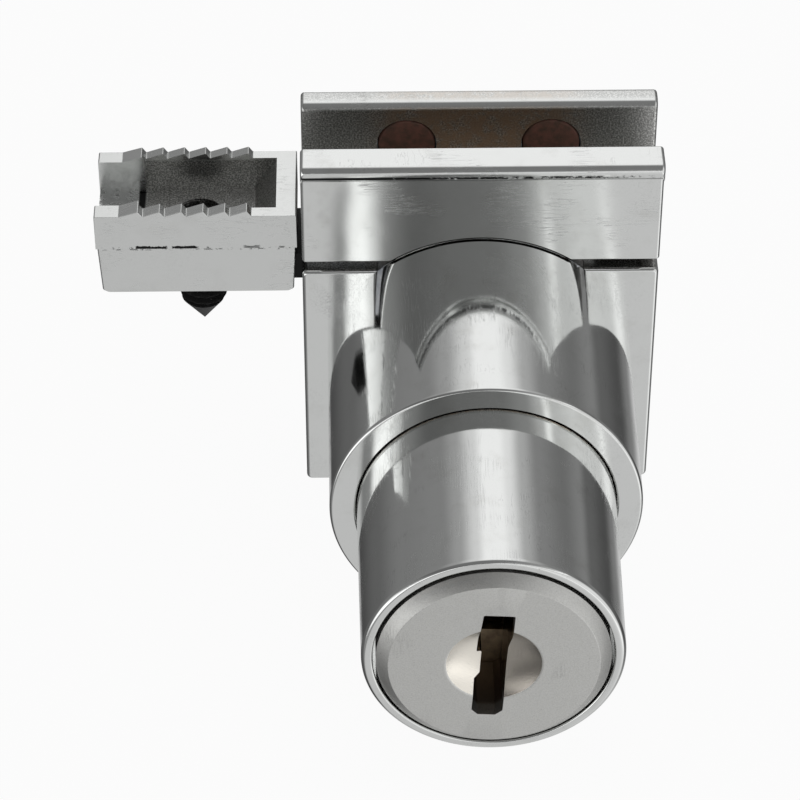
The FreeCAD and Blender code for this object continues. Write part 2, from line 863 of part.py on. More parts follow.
def return_spring():
    """The coil spring round the tail rod, between the plunger's web and the flange.

    Flat-sided wire is carried along a helix: the angle and the rise grow together by a formula.
    """
    length = flange_front_y - plunger_web_back_y
    half = spring_wire / 2
    sections = []
    steps = round(spring_turns * spring_turn_steps)
    for step in range(steps + 1):
        angle = 2 * math.pi * spring_turns * step / steps
        rise = plunger_web_back_y + half + (length - spring_wire) * step / steps
        points = []
        for side in range(spring_wire_sides):
            around = 2 * math.pi * (side + 0.5) / spring_wire_sides
            radius = spring_mean_radius + half * math.cos(around)
            x = radius * math.cos(angle)
            z = axis_z + radius * math.sin(angle)
            points.append(Vector(x, rise + half * math.sin(around), z))
        sections.append(Part.makePolygon(points + points[:1]))
    return Part.makeLoft(sections, True, True)


def all_nodes():
    """Every piece by the name of its node."""
    nodes = {
        "channel_bracket": channel_bracket(),
        "barrel_body": barrel_body(),
        "assembly_screws": assembly_screws(),
        "travel_stop_pin": travel_stop_pin(),
        "plunger_shell": plunger_shell(),
        "slide_driver": slide_driver(),
        "driver_screws": driver_screws(),
        "return_spring": return_spring(),
        "key_plug": key_plug(),
        "locking_lug": locking_lug(),
        "lug_screw": lug_screw(),
        "plug_clip": plug_clip(),
        "wafer_springs": wafer_springs(),
        "bolt_bar": bolt_bar(),
        "claw": claw(),
        "claw_roll_pin": claw_roll_pin(),
        "cone_point_screw": cone_point_screw(),
    }
    for index in range(len(wafer_offsets)):
        nodes[f"wafer_{index + 1}"] = wafer(index)
    for side, x in clamp_screw_places().items():
        nodes[f"clamp_screw_{side}"] = clamp_screw(x)
        nodes[f"clamp_pad_{side}"] = clamp_pad(x)
    return nodes


os.makedirs("parts", exist_ok=True)
for name, shape in all_nodes().items():
    box_of = shape.BoundBox
    print(
        f"{name:18s} solids {len(shape.Solids)} valid {shape.isValid()} volume {shape.Volume:9.2f} "
        f"x {box_of.XMin:7.2f} {box_of.XMax:7.2f} y {box_of.YMin:7.2f} {box_of.YMax:7.2f} "
        f"z {box_of.ZMin:7.2f} {box_of.ZMax:7.2f}"
    )
    shape.exportStep(f"parts/{name}.step")
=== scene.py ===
import json
import math

import bmesh
import bpy
import numpy as np
from mathutils import Matrix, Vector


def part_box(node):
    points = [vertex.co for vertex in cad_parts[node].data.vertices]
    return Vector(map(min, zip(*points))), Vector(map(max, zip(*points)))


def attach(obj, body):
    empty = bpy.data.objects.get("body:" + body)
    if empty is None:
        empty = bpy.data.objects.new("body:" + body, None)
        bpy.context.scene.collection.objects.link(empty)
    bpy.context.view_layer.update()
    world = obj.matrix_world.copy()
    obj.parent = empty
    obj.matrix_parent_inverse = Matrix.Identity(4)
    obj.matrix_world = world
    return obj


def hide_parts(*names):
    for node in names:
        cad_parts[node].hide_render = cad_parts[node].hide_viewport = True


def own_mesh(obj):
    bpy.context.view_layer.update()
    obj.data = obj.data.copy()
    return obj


bl_info = {
    "name": "Glass Cabinet Door Lock",
    "version": (1, 0, 0),
    "blender": (4, 5, 0),
    "location": "View3D > Sidebar > Door Lock",
    "description": "Smooth castings, a keyed plug and a small studio for the glass door lock",
    "category": "Object",
}

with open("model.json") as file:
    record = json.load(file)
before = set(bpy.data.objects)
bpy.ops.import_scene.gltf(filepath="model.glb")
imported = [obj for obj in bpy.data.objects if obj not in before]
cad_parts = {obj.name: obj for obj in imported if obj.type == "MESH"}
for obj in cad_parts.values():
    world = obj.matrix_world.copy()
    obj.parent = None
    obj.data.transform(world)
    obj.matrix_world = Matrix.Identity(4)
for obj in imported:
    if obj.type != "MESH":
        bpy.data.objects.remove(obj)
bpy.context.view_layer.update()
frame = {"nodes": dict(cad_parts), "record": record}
MM = 0.001


def low(node):
    """Lowest corner of a node at rest."""
    return np.array(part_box(node)[0])


def high(node):
    """Highest corner of a node at rest."""
    return np.array(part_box(node)[1])


def middle(node):
    """Middle of a node's box at rest."""
    return (low(node) + high(node)) / 2


def span(node):
    """Lowest and highest corner of a node at rest."""
    return low(node), high(node)


# Places that every piece shares, read from the frame
SIDE = high("channel_bracket")[0]
LIP_Y = low("channel_bracket")[1]
BACK_Y = high("channel_bracket")[1]
BACK_TOP = high("channel_bracket")[2]
PLATE_LOW = low("barrel_body")[2]
COLLAR_Y = low("barrel_body")[1]
INNER_BACK_Y = high("barrel_body")[1]
AXIS = middle("plunger_shell")[2]
PLUNGER_RADIUS = high("plunger_shell")[0]
RIM_Y = low("plunger_shell")[1]
PLUNGER_BACK_Y = high("plunger_shell")[1]
PLUG_FACE_Y = low("key_plug")[1]
PLUG_RADIUS = (high("key_plug")[0] - low("key_plug")[0]) / 2
SCREW_PLAY = 0.04 * MM
ALONG_X, ALONG_Y, ALONG_Z = (0, 1, 2), (1, 0, 2), (2, 0, 1)

# Places in the finishes, in millimetres from the middle of the channel's floor
WALL = 3.0
FACE = -5.2
JAW_TOP = 8.0
WEB_LOW = -2.4
PLATE_TOP = -3.3
BARREL = 13.0
BORE = 10.7


class Value:
    """A socket that takes part in Python arithmetic: each operator adds one Math node."""

    def __init__(self, paint, socket):
        self.paint = paint
        self.socket = socket

    def math(self, operation, *others, clamp=False):
        made = self.paint.tree.nodes.new("ShaderNodeMath")
        made.operation = operation
        made.use_clamp = clamp
        for slot, value in zip(made.inputs, (self, *others)):
            self.paint.feed(slot, value)
        return Value(self.paint, made.outputs[0])

    def __add__(self, other):
        return self.math("ADD", other)

    __radd__ = __add__

    def __mul__(self, other):
        return self.math("MULTIPLY", other)

    __rmul__ = __mul__

    def __sub__(self, other):
        return self.math("SUBTRACT", other)

    def __rsub__(self, other):
        return (self * -1.0).math("ADD", other)

    def __truediv__(self, other):
        return self.math("DIVIDE", other)

    def __pow__(self, other):
        return self.math("POWER", other)

    def __abs__(self):
        return self.math("ABSOLUTE")

    def above(self, start, end):
        """0 below start, 1 above end, smooth between; the other way round if end is less than start."""
        share = (self - start).math("MULTIPLY", 1.0 / (end - start), clamp=True)
        return share * share * (3.0 - 2.0 * share)

    def near(self, place, width, soft):
        """1 within width of a place, 0 further than width plus soft."""
        return abs(self - place).above(width + soft, width)


class Paint:
    """One material's or the world's nodes, made through a single method."""

    def __init__(self, tree):
        self.tree = tree
        tree.nodes.clear()

    def feed(self, slot, value):
        if isinstance(value, Value):
            self.tree.links.new(value.socket, slot)
        elif isinstance(value, bpy.types.NodeSocket):
            self.tree.links.new(value, slot)
        else:
            slot.default_value = value

    def node(self, kind, settings=(), **values):
        """A node of a type, with its settings first and then its sockets' values or links."""
        made = self.tree.nodes.new(kind)
        for name, value in dict(settings).items():
            if name == "stops":
                ramp = made.color_ramp
                while len(ramp.elements) < len(value):
                    ramp.elements.new(1.0)
                for element, (place, colour) in zip(ramp.elements, value):
                    element.position = place
                    element.color = colour
            elif name == "interpolation":
                made.color_ramp.interpolation = value
            else:
                setattr(made, name, value)
        for name, value in values.items():
            self.feed(made.inputs[int(name[1:])] if name[1:].isdigit() else made.inputs[name], value)
        return made

    def place(self):
        """Object coordinates in millimetres."""
        coordinates = self.node("ShaderNodeTexCoord")
        return self.node(
            "ShaderNodeVectorMath", {"operation": "SCALE"}, i0=coordinates.outputs["Object"], i3=1.0 / MM
        ).outputs[0]

    def stretched(self, place, scale):
        """A place with each direction scaled by its own factor."""
        return self.node("ShaderNodeVectorMath", {"operation": "MULTIPLY"}, i0=place, i1=scale).outputs[0]

    def parts(self, place):
        """The three values of a place."""
        apart = self.node("ShaderNodeSeparateXYZ", i0=place)
        return [Value(self, slot) for slot in apart.outputs]

    def noise(self, place, scale, detail=2.0, roughness=0.5, distortion=0.0):
        made = self.node(
            "ShaderNodeTexNoise",
            Vector=place,
            Scale=scale,
            Detail=detail,
            Roughness=roughness,
            Distortion=distortion,
        )
        return Value(self, made.outputs[0])

    def mix(self, factor, first, second):
        """The colour between two colours, given as sockets or as red, green and blue."""
        shades = [
            shade if isinstance(shade, bpy.types.NodeSocket) else (*shade, 1.0) for shade in (first, second)
        ]
        made = self.node("ShaderNodeMix", {"data_type": "RGBA"}, i0=factor, i6=shades[0], i7=shades[1])
        return made.outputs[2]

    def output(self, shader, kind="ShaderNodeOutputMaterial"):
        self.tree.links.new(shader.outputs[0], self.node(kind).inputs[0])

    def surface(self, colour, roughness, height, depth, metallic=1.0, specular=0.5):
        """The finished surface. The depth of its grain is in millimetres."""
        bump = self.node("ShaderNodeBump", Height=height, Strength=1.0, Distance=depth * MM)
        shader = self.node(
            "ShaderNodeBsdfPrincipled",
            **{"Base Color": colour, "Metallic": metallic, "Roughness": roughness},
            **{"Specular IOR Level": specular, "Normal": bump.outputs[0]},
        )
        self.output(shader)


def scratches(paint, place, across, thin, rare):
    """Fine straight scratches: noise squeezed across one direction and cut to its thin bright ridges."""
    lines = paint.noise(paint.stretched(place, across), 1.0, 2.0, 0.6)
    patches = paint.noise(place, 0.22, 2.0)
    ridge = lines.near(0.5, thin, thin * 1.5)
    return ridge * patches.above(rare, rare + 0.12)


def chrome(paint, colour, roughness, scratch_across, wear, grain=0.0, dull_and_shade=None, seam=None):
    """Chrome plating: polish that waves a little, rub marks, scratches, pinholes, and duller recesses with
    painted shade.

    The mask for dull places takes the place's three parts and gives 1 where the plating is thin and dull
    and where shade is painted in. seam takes them with a noise and gives 1 in dark slits and in lines of
    painted shade.
    """
    worn, scratched, pitted = (0.50, 0.49, 0.46), (0.30, 0.30, 0.30), (0.16, 0.155, 0.15)
    place = paint.place()
    smudge = paint.noise(place, 0.35, 4.0, 0.6)
    lines = scratches(paint, place, scratch_across, 0.012, 0.5)
    hairs = scratches(paint, paint.stretched(place, (0.7, 1.4, -1.1)), (2.6, 0.3, 2.2), 0.007, 0.53)
    grit = paint.noise(place, 7.0, 3.0, 0.7)
    pinholes = grit.above(0.70, 0.78)
    waves = paint.noise(place, 0.16, 1.0)
    skin = paint.noise(place, 1.6, 3.0, 0.6)
    pits = paint.noise(place, 2.6, 4.0, 0.85).above(0.67, 0.71)
    rough = roughness + smudge.above(0.45, 0.8) * 0.05 * wear + lines * 0.22 * wear + pinholes * 0.2
    height = waves + skin * 0.03 - (lines * 0.02 + hairs * 0.03) * wear - pinholes * 0.05 + grit * grain
    tone = paint.mix(smudge.above(0.5, 0.85) * 0.35 * wear, colour, worn)
    tone = paint.mix((lines * 0.12 + hairs * 0.2) * wear, tone, scratched)
    tone = paint.mix(pits * 0.35 * wear, tone, pitted)
    x, y, z = paint.parts(place)
    # seam: dark slits, and the painted shade under the bracket's lip and in the barrel's slot
    if seam:
        mask = seam(x, y, z, paint.noise(place, 1.7, 4.0, 0.75))
        tone = paint.mix(mask, tone, (0.02, 0.02, 0.02))
        rough = rough + mask * (0.5 - rough)
        height = height - mask * 1.5
    # Recesses: duller, speckled plating with brown stains, painted darker as shade
    if dull_and_shade:
        mask = dull_and_shade(x, y, z)
        brown = abs(x).above(10.0, 6.0) * paint.noise(place, 1.1, 4.0, 0.65).above(0.3, 0.6)
        speckled = paint.mix(grit.above(0.44, 0.6), (0.34, 0.34, 0.33), (0.80, 0.80, 0.78))
        tone = paint.mix(mask, tone, paint.mix(brown * 0.8, speckled, (0.56, 0.45, 0.35)))
        rough = rough + mask * (0.36 - rough)
        height = height + mask * skin * 0.25
    paint.surface(tone, rough, height, 0.035)


def bracket_chrome(paint, colours):
    def recess(x, y, z):
        """Dull plating and painted shade on the channel's inner faces, the web's underside and, less so,
        the back wall's top.
        """
        channel = y.above(-WALL - 0.2, -WALL - 0.05) * y.above(WALL + 0.25, WALL + 0.05)
        channel = channel * z.above(JAW_TOP - 0.1, JAW_TOP - 0.8)
        under = z.above(WEB_LOW + 0.1, WEB_LOW + 0.02) * y.above(FACE + 0.05, FACE + 0.2)
        under = under * y.above(WALL - 0.05, WALL - 0.15)
        back_top = z.above(JAW_TOP - 0.4, JAW_TOP) * y.above(WALL + 0.3, WALL + 0.9) * 0.45
        return (channel + under + back_top).math("MINIMUM", 1.0)

    def lip_shadow(x, y, z, noise):
        """Painted shadow under the lip, on a rougher, unpolished line: whole at the left and only flecks at
        the right.
        """
        under_lip = z.near(JAW_TOP - 1.15, 0.12, 0.1) * y.above(FACE - 0.5, FACE - 0.56)
        return under_lip * (noise - x * 0.012).above(0.36, 0.5)

    chrome(paint, colours.chrome, 0.13, (0.25, 3.0, 5.0), 1.0, dull_and_shade=recess, seam=lip_shadow)


def barrel_chrome(paint, colours):
    def from_axis(x, z):
        up = z - AXIS / MM
        return (x * x + up * up) ** 0.5

    def recess(x, y, z):
        """Dull plating and painted shade in the bore and on the top edge behind the plate's front."""
        distance = from_axis(x, z)
        top = z.above(PLATE_TOP - 0.15, PLATE_TOP - 0.05) * y.above(FACE + 0.1, FACE + 0.3)
        edge = top * distance.above(BARREL - 0.1, BARREL + 0.1)
        return (distance.above(BORE + 0.1, BORE + 0.02) + edge).math("MINIMUM", 1.0)

    def gap(x, y, z, noise):
        """Painted shade in the slot between the barrel's root and the plate."""
        slot = y.above(FACE + 0.05, FACE + 0.2) * abs(x).above(BARREL + 0.6, BARREL + 0.2)
        slot = slot * from_axis(x, z).above(BARREL - 0.2, BARREL)
        return slot * z.above(-14.0, -12.0) * noise.above(0.2, 0.4)

    chrome(paint, colours.chrome, 0.07, (4.0, 0.2, 3.0), 0.8, dull_and_shade=recess, seam=gap)


def plunger_chrome(paint, colours):
    chrome(paint, colours.chrome, 0.06, (5.0, 0.15, 4.0), 1.0)


def claw_chrome(paint, colours):
    def recess(x, y, z):
        """Dull plating and painted shade in the cored pocket between the walls."""
        walls = y.above(-WALL - 0.56, -WALL - 0.5) * y.above(WALL + 0.56, WALL + 0.5)
        return walls * z.above(2.15, 1.9) * x.above(-28.4, -28.2)

    def parting(x, y, z, noise):
        """The casting's parting line: flecks all along, and open in three ragged slits."""
        slits = x.near(-27.6, 1.2, 0.2) + x.near(-24.8, 0.95, 0.2) + x.near(-19.2, 0.5, 0.3) * 0.6
        line = z + (noise - 0.5) * 0.5
        flecks = z.near(-1.2, 0.16, 0.12) * noise.above(0.55, 0.62) * 0.6
        return (line.near(-1.05, 0.1, 0.05) * slits + flecks).math("MINIMUM", 1.0)

    chrome(paint, colours.claw, 0.22, (0.4, 2.0, 2.0), 0.5, grain=0.10, dull_and_shade=recess, seam=parting)


def plug_satin(paint, colours):
    """Satin plating: a fine even grain, fine scratches and specks, a painted reflection in the dish, warm
    cream at the left and grey-brown at the right, and painted shade in the keyway.
    """
    place = paint.place()
    grain = paint.noise(place, 9.0, 3.0, 0.7)
    cloud = paint.noise(place, 0.5, 3.0, 0.6)
    lines = scratches(paint, place, (6.0, 1.0, 0.5), 0.01, 0.52)
    specks = paint.noise(place, 3.2, 4.0, 0.85)
    tone = paint.mix(grain.above(0.35, 0.7) * 0.35, colours.satin, (0.42, 0.42, 0.40))
    x, y, z = paint.parts(place)
    up = z - AXIS / MM
    across = x * x + up * up
    face = PLUG_FACE_Y / MM
    dish = across.above(3.9**2, 3.7**2) * y.above(face + 0.03, face + 0.08)
    # Painted shade inside the keyway, deeper than 1.5 mm behind the face
    keyway = across.above(6.2**2, 6.0**2) * y.above(face + 1.0, face + 1.5)
    # Painted reflection in the dish: warm cream at the left, grey-brown at the right
    dish_reflection = paint.mix(x.above(-1.0, 1.0), (0.96, 0.91, 0.82), (0.34, 0.31, 0.27))
    tone = paint.mix(dish * 0.9, tone, dish_reflection)
    tone = paint.mix(keyway, tone, (0.30, 0.26, 0.23))
    tone = paint.mix(specks.above(0.64, 0.68) * 0.5, tone, (0.2, 0.19, 0.17))
    rough = (0.36 + cloud * 0.08 + lines * 0.1) * (1.0 - dish * 0.5)
    paint.surface(tone, rough, grain + lines * 0.5, 0.012)


def plain_metal(paint, colour, shade, roughness, grain_scale, grain_depth, gap_shade=False):
    """Stamped or turned metal: a mottled colour, uneven polish and a fine grain.

    Where asked, the metal is painted nearly black left of the bracket's side, where the bolt bar comes out:
    painted shade in the gap beside the claw.
    """
    place = paint.place()
    grain = paint.noise(place, grain_scale, 2.0, 0.6)
    tone = paint.mix(paint.noise(place, 0.8, 4.0, 0.6).above(0.35, 0.75), colour, shade)
    if gap_shade:
        # Painted shade: nearly black in the gap beside the claw, left of the bracket's side
        tone = paint.mix(paint.parts(place)[0].above(-14.6, -14.9), tone, (0.02, 0.02, 0.02))
    paint.surface(tone, roughness + grain * 0.15, grain, grain_depth)


def black_steel(paint, colours):
    """Black oxide: dark, with a little oil on it, worn to grey in specks."""
    grain = paint.noise(paint.place(), 6.0, 3.0, 0.7)
    tone = paint.mix(grain.above(0.62, 0.75), colours.black, (0.16, 0.15, 0.14))
    paint.surface(tone, 0.42 + grain * 0.2, grain, 0.015, metallic=0.3, specular=0.3)


def pad_rubber(paint, colours):
    """Red-brown rubber: matt, with a soft mottle and a moulded grain."""
    place = paint.place()
    grain = paint.noise(place, 10.0, 2.0, 0.6)
    tone = paint.mix(paint.noise(place, 1.5, 4.0, 0.6).above(0.3, 0.7), colours.rubber, (0.14, 0.085, 0.06))
    paint.surface(tone, 0.55 + grain * 0.2, grain, 0.03, metallic=0.0)


def wafer_brass(paint, colours):
    plain_metal(paint, colours.brass, (0.34, 0.25, 0.17), 0.36, 5.0, 0.01)


def zinc_steel(paint, colours):
    # The bolt bar gets painted shade where it shows in the gap beside the claw
    plain_metal(paint, colours.zinc, (0.40, 0.42, 0.46), 0.26, 4.0, 0.006, gap_shade=True)


def spring_steel(paint, colours):
    plain_metal(paint, colours.spring, (0.30, 0.30, 0.31), 0.24, 8.0, 0.004)


MAKERS = (
    bracket_chrome, barrel_chrome, plunger_chrome, claw_chrome, plug_satin,
    wafer_brass, zinc_steel, spring_steel, black_steel, pad_rubber,
)


def new_material(name, maker, values):
    """A material whose nodes a maker lays out from some values."""
    material = bpy.data.materials.new(f"finish_{name}")
    material.use_nodes = True
    maker(Paint(material.node_tree), values)
    return material


def material_of(slot_name):
    """The material of one of the record's slots, made the first time it is asked for."""
    found = bpy.data.materials.get(f"finish_{slot_name}")
    maker = {maker.__name__: maker for maker in MAKERS}[slot_name]
    return found or new_material(slot_name, maker, bpy.context.scene.lock_finishes)


def rounded(corners, radii, steps=6):
    """A closed outline whose corners are arcs.

    Each arc's centre lies on its corner's bisector, at radius over the sine of half the corner, and the arc
    meets both sides at right angles to its radius.
    """
    corners = np.asarray(corners, float)
    pieces = []
    for before, corner, after, radius in zip(
        np.roll(corners, 1, 0), corners, np.roll(corners, -1, 0), radii
    ):
        a = (before - corner) / np.linalg.norm(before - corner)
        b = (after - corner) / np.linalg.norm(after - corner)
        half = math.acos(np.clip(a @ b, -1, 1)) / 2
        if radius <= 0 or half > math.pi / 2 - 1e-3:
            pieces.append(corner[None])
            continue
        centre = corner + (a + b) / np.linalg.norm(a + b) * radius / math.sin(half)
        start = corner + a * radius / math.tan(half) - centre
        turn = math.pi - 2 * half
        if start[0] * (b - a)[1] - start[1] * (b - a)[0] < 0:
            turn = -turn
        angles = np.linspace(0, turn, steps + 1)
        c, s = np.cos(angles), np.sin(angles)
        pieces.append(centre + np.stack([start[0] * c - start[1] * s, start[0] * s + start[1] * c], 1))
    return np.concatenate(pieces)


def new_piece(name, points, wrap_rows=False, caps=True, smooth=35.0):
    """A mesh from a grid of points: rows along the piece, columns closed round it.

    Four neighbours make a face, and flat ends close it. Points that coincide, as at a pole, become one.
    """
    rows, columns = points.shape[:2]
    index = np.arange(rows * columns).reshape(rows, columns)
    if wrap_rows:
        index = np.vstack([index, index[:1]])
    right = np.roll(index, -1, 1)
    quads = np.stack([index[:-1], right[:-1], right[1:], index[1:]], -1).reshape(-1, 4).tolist()
    if caps and not wrap_rows:
        quads += [index[0][::-1].tolist(), index[-1].tolist()]
    mesh = bpy.data.meshes.new(name)
    mesh.from_pydata(points.reshape(-1, 3), [], quads)
    work = bmesh.new()
    work.from_mesh(mesh)
    bmesh.ops.remove_doubles(work, verts=work.verts, dist=1e-7)
    bmesh.ops.dissolve_degenerate(work, edges=work.edges, dist=1e-8)
    bmesh.ops.recalc_face_normals(work, faces=work.faces)
    work.to_mesh(mesh)
    work.free()
    piece = bpy.data.objects.new(name, mesh)
    bpy.context.scene.collection.objects.link(piece)
    soften(piece, smooth)
    return piece


def soften(piece, angle):
    """Smooth shading, with edges sharper than an angle kept crisp."""
    mesh = piece.data
    mesh.polygons.foreach_set("use_smooth", np.ones(len(mesh.polygons), bool))
    mesh.set_sharp_from_angle(angle=math.radians(angle))


def placed(axes, *parts):
    """Points from three grids of numbers, each on the axis named for it."""
    points = np.zeros((*np.broadcast_shapes(*[np.shape(part) for part in parts]), 3))
    for axis, part in zip(axes, parts):
        points[..., axis] = part
    return points


def turned(name, profile, centre, axes=ALONG_Y, segments=192, closed=False):
    """A profile of radius and place carried round an axis.

    A point is the axis plus radius times the cosine and sine of the angle, at the profile's own place.
    """
    profile = np.asarray(profile, float)
    angle = np.linspace(0, 2 * math.pi, segments, endpoint=False)
    radius, along = profile[:, :1], profile[:, 1:]
    points = placed(axes, along, centre[0] + radius * np.cos(angle), centre[1] + radius * np.sin(angle))
    return new_piece(name, points, wrap_rows=closed, caps=False)


def round_edge(radius, place, size, steps, across=1, along=1):
    """A quarter circle at the edge of a turned profile, from the flat end to the round wall.

    across is 1 at an outer edge and -1 at an inner one, along is 1 at a front end and -1 at a back end.
    """
    arc = np.linspace(0, math.pi / 2, steps + 1)
    return np.stack(
        [radius - across * size * (1 - np.sin(arc)), place + along * size * (1 - np.cos(arc))], 1
    )


def inset(outline, depth):
    """An outline moved inwards by a depth along the mean of its neighbouring sides' normals."""
    run = np.roll(outline, -1, 0) - np.roll(outline, 1, 0)
    run /= np.linalg.norm(run, axis=1, keepdims=True)
    area = np.sum(outline[:, 0] * np.roll(outline[:, 1], -1) - np.roll(outline[:, 0], -1) * outline[:, 1])
    inward = np.stack([-run[:, 1], run[:, 0]], 1) * (1 if area > 0 else -1)
    return outline + inward * depth


def carried(name, outline, start, end, round_start, round_end, axes, steps=5):
    """An outline carried along a straight line, with its two end edges rounded.

    At an angle a of the rounding, the outline is inset by radius times one minus the sine of a and stands
    radius times one minus the cosine of a from the end.
    """
    angle = np.linspace(0, math.pi / 2, steps + 1)
    stations = [(start + round_start * (1 - math.cos(a)), round_start * (1 - math.sin(a))) for a in angle]
    stations += [(end - round_end * (1 - math.cos(a)), round_end * (1 - math.sin(a))) for a in angle[::-1]]
    sections = np.stack([inset(outline, depth) for _, depth in stations])
    along = np.array([place for place, _ in stations])
    return new_piece(name, placed(axes, along[:, None], sections[..., 0], sections[..., 1]), smooth=28.0)


def straight(name, outline, start, end, axes):
    """A flat outline carried straight from one place to another."""
    return new_piece(name, placed(axes, [[start], [end]], *np.transpose(outline)))


def block(corner, opposite):
    """A plain block between two corners, for cutting."""
    x0, y0, z0 = corner
    x1, y1, z1 = opposite
    return straight("block", [(y0, z0), (y1, z0), (y1, z1), (y0, z1)], x0, x1, ALONG_X)


def hexagon(across, start, end, axes, centre):
    """A hexagonal socket, from its size across flats, for cutting."""
    angle = np.arange(6) * math.pi / 3
    reach = across / math.sqrt(3)
    outline = np.stack([centre[0] + reach * np.cos(angle), centre[1] + reach * np.sin(angle)], 1)
    return straight("hexagon", outline, start, end, axes)


def threaded(name, radius, pitch, start, end, point, axes, centre):
    """A threaded rod from its point to its head end.

    The radius falls from the crest by a triangle wave of the place along the rod over the pitch plus the
    share of a turn round it. It is also never more than the cone of the point or the chamfer of the head
    end allows.
    """
    rows_per_pitch, columns = 12, 96
    chamfer, depth = 0.15 * radius, 0.6 * pitch
    length_in_all = abs(end - start)
    share = np.linspace(0, 1, int(length_in_all / pitch * rows_per_pitch))[:, None]
    along = start + (end - start) * share
    turn = np.linspace(0, 1, columns, endpoint=False)[None]
    wave = np.abs(((along / pitch + turn) % 1.0) * 2 - 1)
    reach = radius - depth * np.clip(wave * 1.2 - 0.1, 0, 1)
    reach = np.minimum(reach, length_in_all * share * radius / point)
    reach = np.minimum(reach, radius - chamfer + length_in_all * (1 - share))
    reach = np.vstack([reach, np.zeros((1, columns))])
    along = np.vstack([along, along[-1:]])
    angle = 2 * math.pi * turn
    points = placed(axes, along, centre[0] + reach * np.cos(angle), centre[1] + reach * np.sin(angle))
    return new_piece(name, points, caps=False, smooth=40.0)


def coil(name, turns, mean_radius, wire_radius, start, end, sides=16, steps=48):
    """A coil spring round the barrel's axis.

    The wire's middle climbs evenly with the angle, and its skin is a circle round that middle.
    """
    share = np.linspace(0, 1, int(turns * steps) + 1)[:, None]
    angle = 2 * math.pi * turns * share
    around = np.linspace(0, 2 * math.pi, sides, endpoint=False)[None]
    reach = mean_radius + wire_radius * np.cos(around)
    along = start + wire_radius + (end - start - 2 * wire_radius) * share + wire_radius * np.sin(around)
    points = placed(ALONG_Y, along, reach * np.cos(angle), AXIS + reach * np.sin(angle))
    return new_piece(name, points, smooth=50.0)


def drafted(name, corner, opposite, draft, end_round, side_round):
    """A block that narrows downwards from its top, with its two lower end edges rounded.

    At each height the outline is a rounded rectangle, inset in proportion to the depth. In the rounding its
    ends also move in by the radius times one minus the cosine of the angle.
    """
    x0, y0, low_z = corner
    x1, y1, high_z = opposite
    heights = list(np.linspace(high_z, low_z + end_round, 6))
    inward = [0.0] * 6
    for angle in np.linspace(0, math.pi / 2, 8)[1:]:
        heights.append(low_z + end_round * (1 - math.sin(angle)))
        inward.append(end_round * (1 - math.cos(angle)))
    rows = []
    for z, ends in zip(heights, inward):
        side = draft * (high_z - z) / (high_z - low_z)
        sides = min(ends, side_round)
        outline = rounded(
            [
                (x0 + side + ends, y0 + side + sides),
                (x1 - side - ends, y0 + side + sides),
                (x1 - side - ends, y1 - side - sides),
                (x0 + side + ends, y1 - side - sides),
            ],
            [side_round] * 4,
            steps=4,
        )
        rows.append(np.column_stack([outline, np.full(len(outline), z)]))
    return new_piece(name, np.stack(rows))


def joined(name, pieces):
    """Several closed shapes as one piece."""
    work = bmesh.new()
    for piece in pieces:
        work.from_mesh(piece.data)
        discard(piece)
    mesh = bpy.data.meshes.new(name)
    work.to_mesh(mesh)
    work.free()
    piece = bpy.data.objects.new(name, mesh)
    bpy.context.scene.collection.objects.link(piece)
    soften(piece, 35.0)
    return piece


def discard(piece):
    """Removes a piece that was only needed to make another."""
    mesh = piece.data
    bpy.data.objects.remove(piece)
    bpy.data.meshes.remove(mesh)


def rod(radius, start, end, centre=(0.0, AXIS), axes=ALONG_Y, segments=64):
    """A plain round rod, for cutting."""
    return turned("rod", [(0, start), (radius, start), (radius, end), (0, end)], centre, axes, segments)


def combined(piece, *others, operation="DIFFERENCE", smooth=30.0):
    """Cuts closed shapes out of a piece, or joins them to it, and leaves plain mesh."""
    group = bpy.data.collections.new("tools")
    for other in others:
        group.objects.link(other)
    modifier = piece.modifiers.new("combined", "BOOLEAN")
    modifier.operation = operation
    modifier.operand_type = "COLLECTION"
    modifier.collection = group
    modifier.solver = "EXACT"
    settle(piece)
    for other in others:
        discard(other)
    bpy.data.collections.remove(group)
    soften(piece, smooth)
    return piece


def settle(piece):
    """Replaces a piece's mesh with what its modifiers make of it."""
    bpy.context.view_layer.update()
    done = bpy.data.meshes.new_from_object(piece.evaluated_get(bpy.context.evaluated_depsgraph_get()))
    piece.modifiers.clear()
    piece.data = done


def weighted(piece):
    """Keeps flat faces flat in the reflections: normals follow the larger faces."""
    modifier = piece.modifiers.new("flat faces", "WEIGHTED_NORMAL")
    modifier.keep_sharp = True
    modifier.weight = 80


def dress(piece, body, slot_name, *nodes):
    """Gives a finished piece its material and body, and hides the CAD nodes it stands for."""
    piece.data.materials.clear()
    piece.data.materials.append(material_of(slot_name))
    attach(piece, body)
    if nodes:
        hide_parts(*nodes)
    return piece


def number(name, description, default, **kind):
    return bpy.props.FloatProperty(name=name, description=description, default=default, **kind)


def length(name, description, millimetres):
    return number(name, description, millimetres * MM, unit="LENGTH", subtype="DISTANCE", precision=5)


def angle(name, description, degrees):
    return number(name, description, math.radians(degrees), subtype="ANGLE")


def colour(name, description, default):
    return bpy.props.FloatVectorProperty(
        name=name, description=description, default=default, size=3, subtype="COLOR", min=0.0, max=1.0
    )


